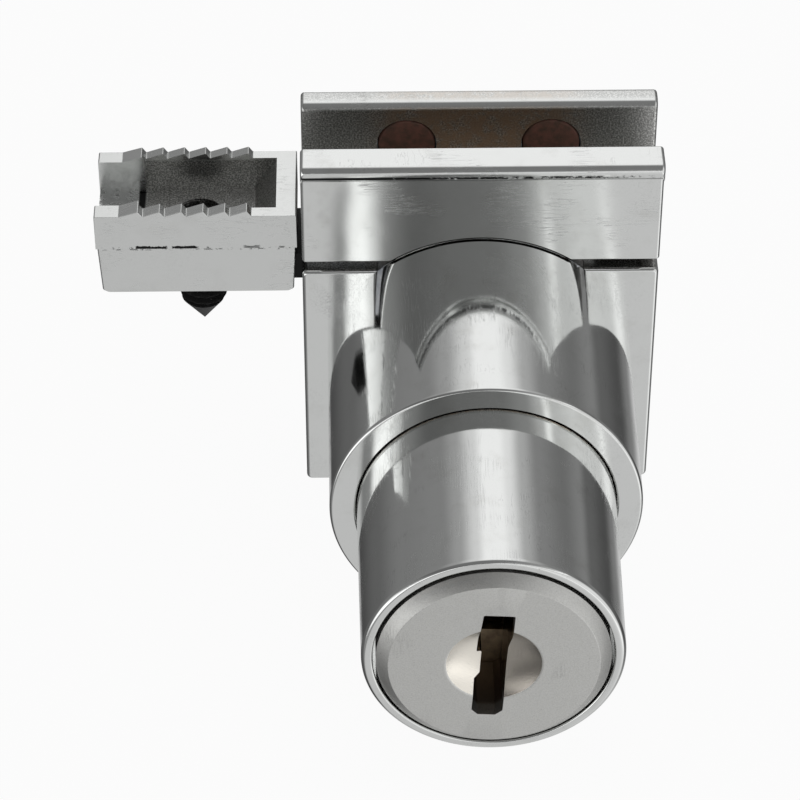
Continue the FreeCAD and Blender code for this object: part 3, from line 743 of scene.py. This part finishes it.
class LOCK_PG_bracket(bpy.types.PropertyGroup):
    gap: length("Glass gap", "Width of the channel for the glass", 6.0)
    jaw_wall: length("Jaw wall", "Thickness of the front jaw", 2.2)
    jaw_height: length("Jaw height", "Height of the front jaw above the seat", 8.0)
    lip_height: length("Lip height", "Height of the half-round lip", 1.7)
    web: length("Web", "Thickness under the seat", 2.4)
    edge: length("Edge rounding", "Rounding of the cast edges", 0.3)
    seam: length("Seam", "Gap round the barrel's root", 0.2)
    pad_spread: length("Pad spread", "Distance between the clamp screws", 12.2)
    pad_height: length("Pad height", "Height of the clamp screws above the seat", 3.8)
    pad_bore: length("Clamp screw hole", "Radius of the clamp screws' holes", 2.54)
    head_bore: length("Counterbore", "Radius of the assembly screws' counterbores", 2.79)
    head_depth: length("Counterbore depth", "Depth of the assembly screws' counterbores", 1.5)
    shank_bore: length("Screw hole", "Radius of the assembly screws' holes", 1.54)
    floor_round: length("Floor rounding", "Rounding of the channel's inner corners", 0.4)
    fillet: length("Fillet", "Rounding under the lip and under the web", 0.2)
    top_round: length("Top rounding", "Rounding of the back wall's top", 0.9)


class LOCK_PG_barrel(bpy.types.PropertyGroup):
    radius: length("Root radius", "Radius of the barrel at the plate", 13.0)
    front_radius: length("Front radius", "Radius of the barrel at its collar", 12.82)
    root: length("Root depth", "How far the barrel reaches into the plate", 1.3)
    bore: length("Bore radius", "Radius of the bore", 10.7)
    plate_top: length("Plate top", "Drop of the plate's top edge below the web", 0.9)
    corner: length("Corner rounding", "Rounding of the plate's corners", 0.5)
    edge: length("Edge rounding", "Rounding of the plate's front edge", 0.35)
    collar: length("Collar rounding", "Rounding of the collar's edge", 0.3)
    wall: length("Wall", "Thickness of the walls round the lower corner pockets", 2.4)
    flange_front: length("Flange", "Depth of the flange behind the plate's face", 0.3)
    flange: length("Flange thickness", "Thickness of the flange that the lug hooks behind", 1.5)
    lug_reach: length("Lug opening", "Half the length of the double-D opening", 3.85)
    lug_side: length("Lug opening width", "Half the width of the double-D opening", 2.25)
    cavity: length("Lug cavity", "Radius of the room behind the flange", 5.0)
    clearance: length("Clearance", "Room round the sliding parts", 0.2)
    back_edge: length("Back edge rounding", "Rounding of the plate's back edge", 0.1)
    chamfer: length("Bore chamfer", "Chamfer of the bore at the collar", 0.15)
    screw_inset: length("Screw inset", "Distance of the assembly screws from the sides", 3.4)
    screw_depth: length("Screw depth", "Depth of the assembly screws' holes from the back", 7.0)


class LOCK_PG_plunger(bpy.types.PropertyGroup):
    front_radius: length("Front radius", "Radius of the plunger at its rim", 10.36)
    rim_wall: length("Rim wall", "Thickness of the rim", 0.9)
    rim_round: length("Rim rounding", "Rounding of the rim's outer edge", 0.45)
    counterbore: length("Counterbore", "Depth of the counterbore for the plug's face", 3.6)
    journal: length("Journal bore", "Radius of the bore for the plug", 7.25)
    web_front: length("Web front", "Depth of the plug's bore behind the rim", 22.2)
    web: length("Web", "Thickness of the web behind the plug", 1.6)
    tail_bore: length("Tail bore", "Radius of the hole for the plug's tail", 2.0)
    pocket: length("Spring pocket", "Radius of the return spring's pocket", 5.4)
    travel: length("Travel", "How far the plunger is pushed in", 5.0)
    inner_round: length("Inner rim rounding", "Rounding of the rim's inner edge", 0.18)
    slot_play: length("Slot play", "Room beside the travel stop pin", 0.1)


class LOCK_PG_plug(bpy.types.PropertyGroup):
    chamfer: length("Chamfer", "Width of the face's chamfer", 0.93)
    proud: length("Proud", "How far the face stands out of the rim", 0.8)
    dish_radius: length("Dish radius", "Radius of the round dish", 3.85)
    dish_depth: length("Dish depth", "Depth of the round dish", 1.0)
    journal: length("Journal", "Radius of the plug's body", 7.2)
    body: length("Body length", "Length of the plug's body behind the face", 22.9)
    tail: length("Tail", "Radius of the tail rod", 1.8)
    square: length("Tail square", "Width of the square that carries the lug", 2.4)
    keyway_end: length("Keyway end", "Where the keyway ends, along the axis", -20.9)
    slot_side: length("Wafer slot side", "Half the width of the wafers' slots", 3.25)
    slot_reach: length("Wafer slot reach", "Half the height of the wafers' slots", 9.0)
    lug_screw: length("Lug screw hole", "Radius of the hole for the lug screw", 0.8)
    ward_round: length("Keyway rounding", "Rounding of the keyway's corners", 0.12)
    wafer_play: length("Wafer play", "Room before and behind each wafer", 0.05)
    seat_gap: length("Seat gap", "Gap between the plug's head and its seat", 0.1)
    turn: angle("Rest turn", "Play at which the plug rests", 3.5)


class LOCK_PG_claw(bpy.types.PropertyGroup):
    gap: length("Gap", "Width of the claw's channel", 6.0)
    ledge: length("Ledge", "Length of the narrow part of the channel", 3.75)
    widening: length("Widening", "How much wider the cored pocket is on each side", 0.45)
    wall_height: length("Wall height", "Height of the walls above the floor", 3.2)
    end_wall: length("End wall", "Thickness of the wall next to the bracket", 1.7)
    ramp: length("Ramp", "Length of the pocket's sloping end", 1.9)
    parting: length("Parting line", "Drop of the casting's parting line below the floor", 0.2)
    step: length("Parting step", "Step at the parting line", 0.12)
    draft: length("Draft", "How much the base narrows on each side", 0.23)
    tooth: length("Tooth height", "Height of the teeth", 0.5)
    pitch: length("Tooth pitch", "Distance from tooth to tooth", 1.81)
    first_peak: length("First peak", "Distance of the first peak from the left end", 3.7)
    first_ramp: length("First rise", "Length of the first tooth's rise", 1.65)
    drop: length("Tooth drop", "Length of a tooth's steep side", 0.35)
    edge: length("Edge rounding", "Rounding of the walls' outer edges", 0.12)
    base_round: length("Base end rounding", "Rounding of the base's lower ends", 0.5)
    side_round: length("Base corner rounding", "Rounding of the base's upright corners", 0.15)
    teeth: bpy.props.IntProperty(name="Teeth", description="Teeth on each wall", default=6, min=1)


class LOCK_PG_fasteners(bpy.types.PropertyGroup):
    cone: length("Cone", "Length of the cone screw's point", 2.75)
    tip_lift: length("Point lift", "How far the point stands above the CAD screw's lowest place", 0.4)
    cone_pitch: length("Cone screw thread", "Pitch of the cone screw's thread", 0.7)
    clamp_pitch: length("Clamp screw thread", "Pitch of the clamp screws' threads", 0.8)
    cone_socket: length("Cone screw socket", "Size across the cone screw's socket", 2.0)
    clamp_socket: length("Clamp screw socket", "Size across the clamp screws' sockets", 2.5)
    socket_depth: length("Socket depth", "Depth of the set screws' sockets", 2.2)
    head: length("Head", "Height of the assembly screws' heads", 1.5)
    shank: length("Shank", "Radius of the assembly screws' shanks", 1.5)
    head_socket: length("Head socket", "Size across the assembly screws' sockets", 2.0)
    head_socket_depth: length("Head socket depth", "Depth of the assembly screws' sockets", 1.0)
    head_round: length("Head rounding", "Rounding of the assembly screws' heads", 0.3)
    clamp_point: length("Clamp screw chamfer", "Length of the chamfer at the clamp screws' front", 0.3)
    pad_round: length("Pad rounding", "Rounding of the pads' front edge", 0.18)
    wire: length("Spring wire", "Radius of the return spring's wire", 0.45)
    spring: length("Spring radius", "Mean radius of the return spring", 4.6)
    turns: number("Turns", "Turns of the return spring", 5.5)


class LOCK_PG_finishes(bpy.types.PropertyGroup):
    chrome: colour("Chrome", "Bright chrome plating", (0.80, 0.81, 0.80))
    claw: colour("Claw", "Thin chrome plating on the rough claw", (0.78, 0.79, 0.78))
    satin: colour("Satin", "Satin plating of the plug", (0.70, 0.70, 0.68))
    brass: colour("Brass", "Stamped wafers", (0.62, 0.50, 0.34))
    zinc: colour("Zinc", "Zinc-plated steel", (0.60, 0.61, 0.63))
    spring: colour("Spring", "Drawn spring wire", (0.52, 0.53, 0.55))
    black: colour("Black", "Black oxide of the set screws", (0.02, 0.02, 0.02))
    rubber: colour("Rubber", "Red-brown pads", (0.26, 0.12, 0.09))


class LOCK_PG_stage(bpy.types.PropertyGroup):
    camera: bpy.props.FloatVectorProperty(
        name="Camera",
        description="Where the camera stands",
        default=(-10.04 * MM, -230.07 * MM, 176.24 * MM),
        subtype="TRANSLATION",
        unit="LENGTH",
    )
    tilt: angle("Tilt", "How far the camera looks down", 40.76)
    turn: angle("Turn", "How far the camera turns to the left", -0.83)
    lens: number("Lens", "Focal length in millimetres", 154.0)
    floor: colour("Floor", "Pale floor", (0.80, 0.80, 0.80))


class LOCK_OT_bracket(bpy.types.Operator):
    """Makes the bracket that grips the glass"""

    bl_idname = "lock.bracket"
    bl_label = "Channel Bracket"

    def execute(self, context):
        s = context.scene.lock_bracket
        b = context.scene.lock_barrel
        inner = s.gap / 2
        face = -inner - s.jaw_wall
        # A little less than half the lip, so that its two arcs stay apart
        lip = s.lip_height / 2 * 0.98
        lip_low = s.jaw_height - s.lip_height
        e = s.edge
        outline = rounded(
            [
                (-inner, 0), (-inner, s.jaw_height), (LIP_Y, s.jaw_height), (LIP_Y, lip_low),
                (face, lip_low), (face, -s.web), (inner, -s.web), (inner, PLATE_LOW),
                (BACK_Y, PLATE_LOW), (BACK_Y, BACK_TOP), (inner, BACK_TOP), (inner, 0),
            ],
            [s.floor_round, e, lip, lip, s.fillet, e, s.fillet, e, e, *[s.top_round] * 2, s.floor_round],
            steps=7,
        )
        piece = carried("bracket", outline, -SIDE, SIDE, e, e, ALONG_X)
        tools = [rod(b.radius + s.seam, LIP_Y - MM, face + b.root + s.seam, segments=192)]
        screw = high("assembly_screws")[0] - s.head_bore + SCREW_PLAY
        for side in (-1, 1):
            pad = side * s.pad_spread / 2, s.pad_height
            tools.append(rod(s.pad_bore, inner - MM, BACK_Y + MM, pad))
            tools.append(rod(s.head_bore, BACK_Y - s.head_depth, BACK_Y + MM, (side * screw, AXIS)))
        first, last = span("slide_driver")
        room = b.clearance
        far = last[1] + context.scene.lock_plunger.travel + room
        corner = (first[0] - room, inner - MM, first[2] - room)
        tools.append(block(corner, (last[0] + room, far, high("bolt_bar")[2])))
        combined(piece, *tools)
        combined(piece, *[rod(s.shank_bore, inner - MM, BACK_Y, (side * screw, AXIS)) for side in (-1, 1)])
        weighted(piece)
        dress(piece, "frame", "bracket_chrome", "channel_bracket")
        return {"FINISHED"}


class LOCK_OT_barrel(bpy.types.Operator):
    """Makes the casting with the base plate and the barrel"""

    bl_idname = "lock.barrel"
    bl_label = "Barrel Casting"

    def execute(self, context):
        s = context.scene.lock_barrel
        g = context.scene.lock_bracket
        face = -g.gap / 2 - g.jaw_wall
        top = -g.web - s.plate_top
        outline = rounded(
            [(-SIDE, PLATE_LOW), (SIDE, PLATE_LOW), (SIDE, top), (-SIDE, top)], [s.corner] * 4
        )
        plate = carried("barrel_casting", outline, face, INNER_BACK_Y, s.edge, s.back_edge, ALONG_Y)
        collar = round_edge(s.front_radius, COLLAR_Y, s.collar, 6)
        root = face + s.root
        profile = np.concatenate(
            [
                [(s.bore, face), (s.bore, COLLAR_Y + s.chamfer), (s.bore + s.chamfer, COLLAR_Y)],
                collar,
                [(s.radius, root), (s.bore, root)],
            ]
        )
        barrel = turned("barrel", profile, (0, AXIS), segments=256, closed=True)
        combined(plate, barrel, operation="UNION")
        front = face + s.flange_front
        behind = front + s.flange
        back = INNER_BACK_Y + MM
        room = s.clearance
        combined(plate, rod(s.bore, COLLAR_Y - MM, front, segments=256))
        turn = np.linspace(0, 2 * math.pi, 96, endpoint=False)
        across = np.clip(s.lug_reach * np.cos(turn), -s.lug_side, s.lug_side)
        opening = np.stack([across, AXIS + s.lug_reach * np.sin(turn)], 1)
        inside = SIDE - s.wall
        pockets = block((-inside, -g.gap / 2, PLATE_LOW + s.wall), (inside, back, AXIS))
        combined(pockets, rod(s.radius, -g.gap, back + MM, segments=128))
        pin = high("travel_stop_pin")[0], (0, middle("travel_stop_pin")[1])
        combined(
            plate,
            straight("opening", opening, front - MM, behind + MM, ALONG_Y),
            pockets,
            rod(pin[0], PLATE_LOW - MM, AXIS, pin[1], ALONG_Z),
        )
        screws = [
            rod(g.shank_bore, BACK_Y - s.screw_depth, back, (side * (SIDE - s.screw_inset), AXIS))
            for side in (-1, 1)
        ]
        combined(plate, rod(s.cavity, behind, back, segments=96), *screws)
        first, last = span("slide_driver")
        corner = (first[0] - room, front - MM, first[2] - room)
        combined(plate, block(corner, (last[0] + room, back, last[2] + room)))
        first, last = span("bolt_bar")
        corner = (-SIDE - MM, first[1] - room, first[2] - room)
        combined(plate, block(corner, (last[0] + 2 * room, back, top + MM)))
        weighted(plate)
        dress(plate, "frame", "barrel_chrome", "barrel_body")
        return {"FINISHED"}


class LOCK_OT_plunger(bpy.types.Operator):
    """Makes the sliding plunger sleeve"""

    bl_idname = "lock.plunger"
    bl_label = "Plunger"

    def execute(self, context):
        s = context.scene.lock_plunger
        inner = s.front_radius - s.rim_wall
        outer_rim = round_edge(s.front_radius, RIM_Y, s.rim_round, 8)
        inner_rim = round_edge(inner, RIM_Y, s.inner_round, 8, across=-1)
        web_front = RIM_Y + s.web_front
        web_back = web_front + s.web
        ledge = RIM_Y + s.counterbore
        profile = np.concatenate(
            [
                outer_rim,
                [(PLUNGER_RADIUS, COLLAR_Y), (PLUNGER_RADIUS, PLUNGER_BACK_Y), (s.pocket, PLUNGER_BACK_Y)],
                [(s.pocket, web_back), (s.tail_bore, web_back), (s.tail_bore, web_front)],
                [(s.journal, web_front), (s.journal, ledge), (inner, ledge)],
                inner_rim[::-1],
            ]
        )
        piece = turned("plunger", profile, (0, AXIS), segments=256, closed=True)
        seat = low("slide_driver")
        tongue_top = low("driver_screws")[2]
        pin = middle("travel_stop_pin")[1]
        side = high("travel_stop_pin")[0] + s.slot_play
        slot_top = high("travel_stop_pin")[2] + 2 * s.slot_play
        first, last = span("driver_screws")
        radius = (last[1] - first[1]) / 2
        combined(
            piece,
            block(seat, (-seat[0], PLUNGER_BACK_Y + MM, tongue_top)),
            block((-side, pin - s.travel - side, PLATE_LOW), (side, pin + side, slot_top)),
        )
        above = AXIS + PLUNGER_RADIUS + MM
        places = [(turn * (last[0] - radius), last[1] - radius) for turn in (-1, 1)]
        under = tongue_top - 0.5 * MM
        combined(piece, *[rod(radius + SCREW_PLAY, under, above, place, ALONG_Z) for place in places])
        weighted(piece)
        dress(piece, "plunger", "plunger_chrome", "plunger_shell")
        return {"FINISHED"}


class LOCK_OT_plug(bpy.types.Operator):
    """Makes the keyed plug with its dish and warded keyway"""

    bl_idname = "lock.plug"
    bl_label = "Key Plug"

    # The keyway's outline in millimetres from the plug's axis, with its two wards
    KEYWAY = [
        (-1.2, 5.3), (-1.4, 2.6), (-1.4, 0.6), (-1.0, 0.6), (-1.0, -1.6), (-1.4, -2.1), (-1.4, -5.0),
        (-0.9, -5.5), (0.5, -5.5), (1.05, -5.0), (1.05, 1.2), (1.25, 2.5), (1.25, 5.3),
    ]

    def execute(self, context):
        s = context.scene.lock_plug
        ball = (s.dish_radius**2 + s.dish_depth**2) / (2 * s.dish_depth)
        spread = np.linspace(0, s.dish_radius, 24)
        dish = np.stack([spread, PLUG_FACE_Y + s.dish_depth - ball + np.sqrt(ball**2 - spread**2)], 1)
        flat = PLUG_RADIUS - s.chamfer
        end = PLUG_FACE_Y + s.body
        tail_end, lug_end = low("locking_lug")[1], high("locking_lug")[1]
        seat = RIM_Y + context.scene.lock_plunger.counterbore - s.seat_gap
        soft = 0.03 * MM
        profile = np.concatenate(
            [
                dish,
                [(s.dish_radius + 0.05 * MM, PLUG_FACE_Y), (flat - 0.04 * MM, PLUG_FACE_Y)],
                [(flat + soft, PLUG_FACE_Y + soft), (PLUG_RADIUS, PLUG_FACE_Y + s.proud)],
                [(PLUG_RADIUS, seat), (s.journal, seat), (s.journal, end), (s.tail, end)],
                [(s.tail, tail_end), (0, tail_end)],
            ]
        )
        piece = turned("key_plug_face", profile, (0, AXIS), segments=256)
        keyway = rounded(np.array(self.KEYWAY) * MM, [s.ward_round] * len(self.KEYWAY), steps=3)
        tools = [straight("keyway", keyway + (0, AXIS), PLUG_FACE_Y - MM, s.keyway_end, ALONG_Y)]
        for name in sorted(n for n in frame["nodes"] if n.startswith("wafer_") and n != "wafer_springs"):
            first, last = low(name)[1] - s.wafer_play, high(name)[1] + s.wafer_play
            corner = (-s.slot_side, first, AXIS - s.slot_reach)
            tools.append(block(corner, (s.slot_side, last, AXIS + s.slot_reach)))
        combined(piece, *tools)
        half = s.square / 2
        square = block((-half, tail_end - MM, AXIS - half), (half, lug_end, AXIS + half))
        combined(piece, square, operation="UNION")
        combined(piece, rod(s.lug_screw, low("lug_screw")[1], lug_end + MM, segments=32))
        to_axis = Matrix.Translation((0, 0, AXIS))
        piece.data.transform(to_axis @ Matrix.Rotation(s.turn, 4, "Y") @ to_axis.inverted())
        weighted(piece)
        dress(piece, "plug", "plug_satin", "key_plug")
        return {"FINISHED"}


class LOCK_OT_claw(bpy.types.Operator):
    """Makes the toothed claw with its channel, cored pocket and base"""

    bl_idname = "lock.claw"
    bl_label = "Claw"

    def execute(self, context):
        s = context.scene.lock_claw
        inner = s.gap / 2
        (left, front, bottom), (right, back, peak) = span("claw")
        top = peak - s.tooth
        floor = top - s.wall_height
        parting = floor - s.parting
        saw = [(left + s.first_peak - s.first_ramp, top)]
        for index in range(s.teeth):
            x = left + s.first_peak + index * s.pitch
            saw += [(x, peak), (x + s.drop, top)]
        outline = rounded(
            [(left, parting), (left, top), *saw, (right, top), (right, parting)],
            [0, s.edge, *[s.edge * 0.7] * len(saw), s.edge, 0],
            steps=3,
        )
        claw = carried("claw_casting", outline, front, back, s.edge / 2, s.edge / 2, ALONG_Y, 3)
        corner = (left + s.step, front + s.step, bottom)
        opposite = (right - s.step, back - s.step, parting + 0.05 * MM)
        base = drafted("base", corner, opposite, s.draft, s.base_round, s.side_round)
        combined(claw, base, operation="UNION")
        above = peak + MM
        ramp_top = right - s.end_wall
        start = left + s.ledge
        side = inner + s.widening
        channel = block((left - MM, -inner, floor), (start + 0.5 * MM, inner, above))
        core = [
            (start + s.widening, floor), (ramp_top - s.ramp, floor), (ramp_top, top), (ramp_top, above),
            (start, above), (start, top),
        ]
        combined(channel, straight("pocket", core, -side, side, ALONG_Y), operation="UNION")
        combined(claw, channel)
        first, last = span("bolt_bar")
        combined(claw, block(first, (right + MM, last[1], last[2])))
        first, last = span("claw_roll_pin")
        pin = (last[1] - first[1]) / 2
        screw = high("cone_point_screw")[1]
        combined(
            claw,
            rod(screw + SCREW_PLAY, bottom - MM, above, middle("cone_point_screw")[:2], ALONG_Z),
            rod(pin + SCREW_PLAY / 2, bottom - MM, last[2], first[:2] + pin, ALONG_Z),
        )
        weighted(claw)
        dress(claw, "bolt", "claw_chrome", "claw")
        return {"FINISHED"}


class LOCK_OT_screws(bpy.types.Operator):
    """Makes the set screws with their threads, the assembly screws, the pads and the return spring"""

    bl_idname = "lock.screws"
    bl_label = "Screws, Pads and Spring"

    def execute(self, context):
        s = context.scene.lock_fasteners
        g = context.scene.lock_bracket
        self.cone_screw(s)
        for side, turn in (("left", -1), ("right", 1)):
            centre = (turn * g.pad_spread / 2, g.pad_height)
            self.clamp_screw(s, side, centre)
            self.pad(s, side, centre)
        self.assembly_screws(s)
        self.spring(s, context.scene.lock_plunger)
        return {"FINISHED"}

    def socketed(self, screw, across, end, depth, axes, centre, smooth=30.0):
        """A screw with a hexagonal socket in its head end."""
        return combined(screw, hexagon(across, end - depth, end + MM, axes, centre), smooth=smooth)

    def cone_screw(self, s):
        node = "cone_point_screw"
        centre = middle(node)[:2]
        tip = low(node)[2] + s.tip_lift
        top = high(node)[2]
        screw = threaded("cone_screw", high(node)[1], s.cone_pitch, tip, top, s.cone, ALONG_Z, centre)
        self.socketed(screw, s.cone_socket, top, s.socket_depth, ALONG_Z, centre, 40.0)
        dress(screw, "cone_screw", "black_steel", node)

    def clamp_screw(self, s, side, centre):
        node = f"clamp_screw_{side}"
        first, last = span(node)
        radius = (last[0] - first[0]) / 2
        screw = threaded(
            f"clamp_{side}", radius, s.clamp_pitch, first[1], last[1], s.clamp_point, ALONG_Y, centre
        )
        self.socketed(screw, s.clamp_socket, last[1], s.socket_depth, ALONG_Y, centre, 40.0)
        dress(screw, f"clamp_{side}", "black_steel", node)

    def pad(self, s, side, centre):
        node = f"clamp_pad_{side}"
        first, last = span(node)
        radius = (last[0] - first[0]) / 2
        start, end = first[1], last[1]
        edge = round_edge(radius, start, s.pad_round, 5)
        profile = np.concatenate([[(0, start)], edge, [(radius, end), (0, end)]])
        piece = turned(f"pad_{side}", profile, centre, segments=96)
        dress(piece, f"clamp_{side}", "pad_rubber", node)

    def assembly_screws(self, s):
        node = "assembly_screws"
        first, last = span(node)
        start, end = first[1], last[1]
        radius = (last[2] - first[2]) / 2
        neck = end - s.head
        edge = round_edge(radius, end, s.head_round, 6, along=-1)
        shank = [(0, start), (s.shank, start), (s.shank, neck), (radius, neck)]
        profile = np.concatenate([shank, edge[::-1], [(0, end)]])
        screws = []
        for turn in (-1, 1):
            centre = (turn * (last[0] - radius), AXIS)
            screw = turned("screw", profile, centre, segments=96)
            screws.append(self.socketed(screw, s.head_socket, end, s.head_socket_depth, ALONG_Y, centre))
        dress(joined("back_screws", screws), "frame", "zinc_steel", node)

    def spring(self, s, p):
        start = RIM_Y + p.web_front + p.web
        first, last = span("return_spring")
        end = last[1] + (first[1] - start)
        spring = coil("coil_spring", s.turns, s.spring, s.wire, start, end)
        dress(spring, "frame", "spring_steel", "return_spring")
        keep = 1 - p.travel / (end - start)
        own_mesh(spring)


class LOCK_OT_inner(bpy.types.Operator):
    """Gives the pieces that keep their CAD mesh their finish"""

    bl_idname = "lock.inner"
    bl_label = "Inner Pieces"

    def execute(self, context):
        for subpart in frame["record"]["subparts"]:
            node = frame["nodes"][subpart["node"]]
            if not node.hide_render:
                for place in node.material_slots:
                    place.material = material_of(subpart["material_slot"])
        return {"FINISHED"}


class LOCK_OT_stage(bpy.types.Operator):
    """Sets up the floor, the studio light and the camera"""

    bl_idname = "lock.stage"
    bl_label = "Studio"

    def execute(self, context):
        s = context.scene.lock_stage
        self.floor(s)
        self.sky()
        self.camera(context, s)
        context.scene.view_settings.view_transform = "Standard"
        return {"FINISHED"}

    def floor(self, s):
        size = 3.0
        mesh = bpy.data.meshes.new("floor")
        corners = [(x * size, y * size, PLATE_LOW) for x, y in ((-1, -1), (1, -1), (1, 1), (-1, 1))]
        mesh.from_pydata(corners, [], [(0, 1, 2, 3)])
        floor = bpy.data.objects.new("floor", mesh)
        bpy.context.scene.collection.objects.link(floor)
        mesh.materials.append(new_material("pale_floor", self.pale, s.floor))
        floor.visible_glossy = False

    def pale(self, paint, tone):
        """A matt floor that the camera sees almost white."""
        matt = paint.node("ShaderNodeBsdfDiffuse", Color=(*tone, 1.0))
        glow = paint.node("ShaderNodeEmission", Color=(1.0, 1.0, 1.0, 1.0), Strength=1.0)
        seen = Value(paint, paint.node("ShaderNodeLightPath").outputs["Is Camera Ray"])
        mixed = paint.node("ShaderNodeMixShader", i0=seen * 0.95, i1=matt.outputs[0], i2=glow.outputs[0])
        paint.output(mixed)

    def sky(self):
        """The studio: one ring of light behind and one in front, each by the angle from straight up."""
        world = bpy.data.worlds.new("studio")
        bpy.context.scene.world = world
        world.use_nodes = True
        paint = Paint(world.node_tree)
        towards = paint.node("ShaderNodeTexCoord").outputs["Generated"]
        x, y, z = paint.parts(towards)
        angle = x.math("ARCTAN2", z) / (2 * math.pi) + 0.5
        brightest = 1.6

        def ring(levels):
            stops = [(0.5 + degrees / 360, (*[level / brightest] * 3, 1.0)) for degrees, level in levels]
            return paint.node("ShaderNodeValToRGB", {"stops": stops, "interpolation": "EASE"}, i0=angle)

        behind = ring(
            [
                (-180, 0.62), (-166, 0.45), (-157, 0.07), (-118, 0.13), (-84, 0.21),
                (-43, 0.24), (-28, 0.36), (-13, 0.72), (-4, 1.0), (10, 1.0),
                (18, 0.84), (30, 0.44), (44, 0.24), (69, 0.17), (87, 0.23),
                (97, 0.13), (122, 0.08), (138, 0.21), (160, 0.58), (180, 0.62),
            ]
        )
        before = ring(
            [
                (-180, 0.60), (-156, 0.58), (-142, 0.26), (-128, 0.30), (-114, 1.4),
                (-99, 1.5), (-88, 0.9), (-77, 0.28), (-51, 0.14), (-19, 0.18),
                (12, 0.20), (36, 0.30), (52, 0.56), (58, 1.2), (64, 0.68),
                (90, 0.86), (118, 0.80), (134, 1.15), (152, 0.75), (180, 0.60),
            ]
        )
        pale = paint.mix(y.above(-0.15, -0.5), behind.outputs[0], before.outputs[0])
        glow = paint.node("ShaderNodeBackground", Color=pale, Strength=brightest)
        seen = paint.node("ShaderNodeLightPath").outputs["Is Camera Ray"]
        white = paint.node("ShaderNodeBackground", Color=(1.0, 1.0, 1.0, 1.0), Strength=1.0)
        mixed = paint.node("ShaderNodeMixShader", i0=seen, i1=glow.outputs[0], i2=white.outputs[0])
        paint.output(mixed, "ShaderNodeOutputWorld")

    def camera(self, context, s):
        data = bpy.data.cameras.new("camera")
        data.sensor_width = 36.0
        data.lens = s.lens
        data.clip_start = 0.01
        camera = bpy.data.objects.new("camera", data)
        context.scene.collection.objects.link(camera)
        camera.location = s.camera
        camera.rotation_euler = (math.pi / 2 - s.tilt, 0, s.turn)
        context.scene.camera = camera


class LOCK_PT_panel(bpy.types.Panel):
    """Lists the lock's pieces in the sidebar"""

    bl_idname = "LOCK_PT_panel"
    bl_label = "Door Lock"
    bl_space_type = "VIEW_3D"
    bl_region_type = "UI"
    bl_category = "Door Lock"

    def draw(self, context):
        for name in GROUPS:
            group = getattr(context.scene, name)
            box = self.layout.box()
            for key in group.bl_rna.properties.keys():
                if key not in ("rna_type", "name"):
                    box.prop(group, key)
        for operator in OPERATORS:
            self.layout.operator(operator.bl_idname)


GROUPS = {
    "lock_bracket": LOCK_PG_bracket,
    "lock_barrel": LOCK_PG_barrel,
    "lock_plunger": LOCK_PG_plunger,
    "lock_plug": LOCK_PG_plug,
    "lock_claw": LOCK_PG_claw,
    "lock_fasteners": LOCK_PG_fasteners,
    "lock_finishes": LOCK_PG_finishes,
    "lock_stage": LOCK_PG_stage,
}
OPERATORS = (
    LOCK_OT_bracket,
    LOCK_OT_barrel,
    LOCK_OT_plunger,
    LOCK_OT_plug,
    LOCK_OT_claw,
    LOCK_OT_screws,
    LOCK_OT_inner,
    LOCK_OT_stage,
)


def register():
    for name, group in GROUPS.items():
        bpy.utils.register_class(group)
        setattr(bpy.types.Scene, name, bpy.props.PointerProperty(type=group))
    for operator in OPERATORS:
        bpy.utils.register_class(operator)
    bpy.utils.register_class(LOCK_PT_panel)


def unregister():
    bpy.utils.unregister_class(LOCK_PT_panel)
    for operator in reversed(OPERATORS):
        bpy.utils.unregister_class(operator)
    for name, group in reversed(GROUPS.items()):
        delattr(bpy.types.Scene, name)
        bpy.utils.unregister_class(group)


def main():
    register()
    bpy.ops.lock.bracket()
    bpy.ops.lock.barrel()
    bpy.ops.lock.plunger()
    bpy.ops.lock.plug()
    bpy.ops.lock.claw()
    bpy.ops.lock.screws()
    bpy.ops.lock.inner()
    bpy.ops.lock.stage()


if __name__ == "__main__":
    main()
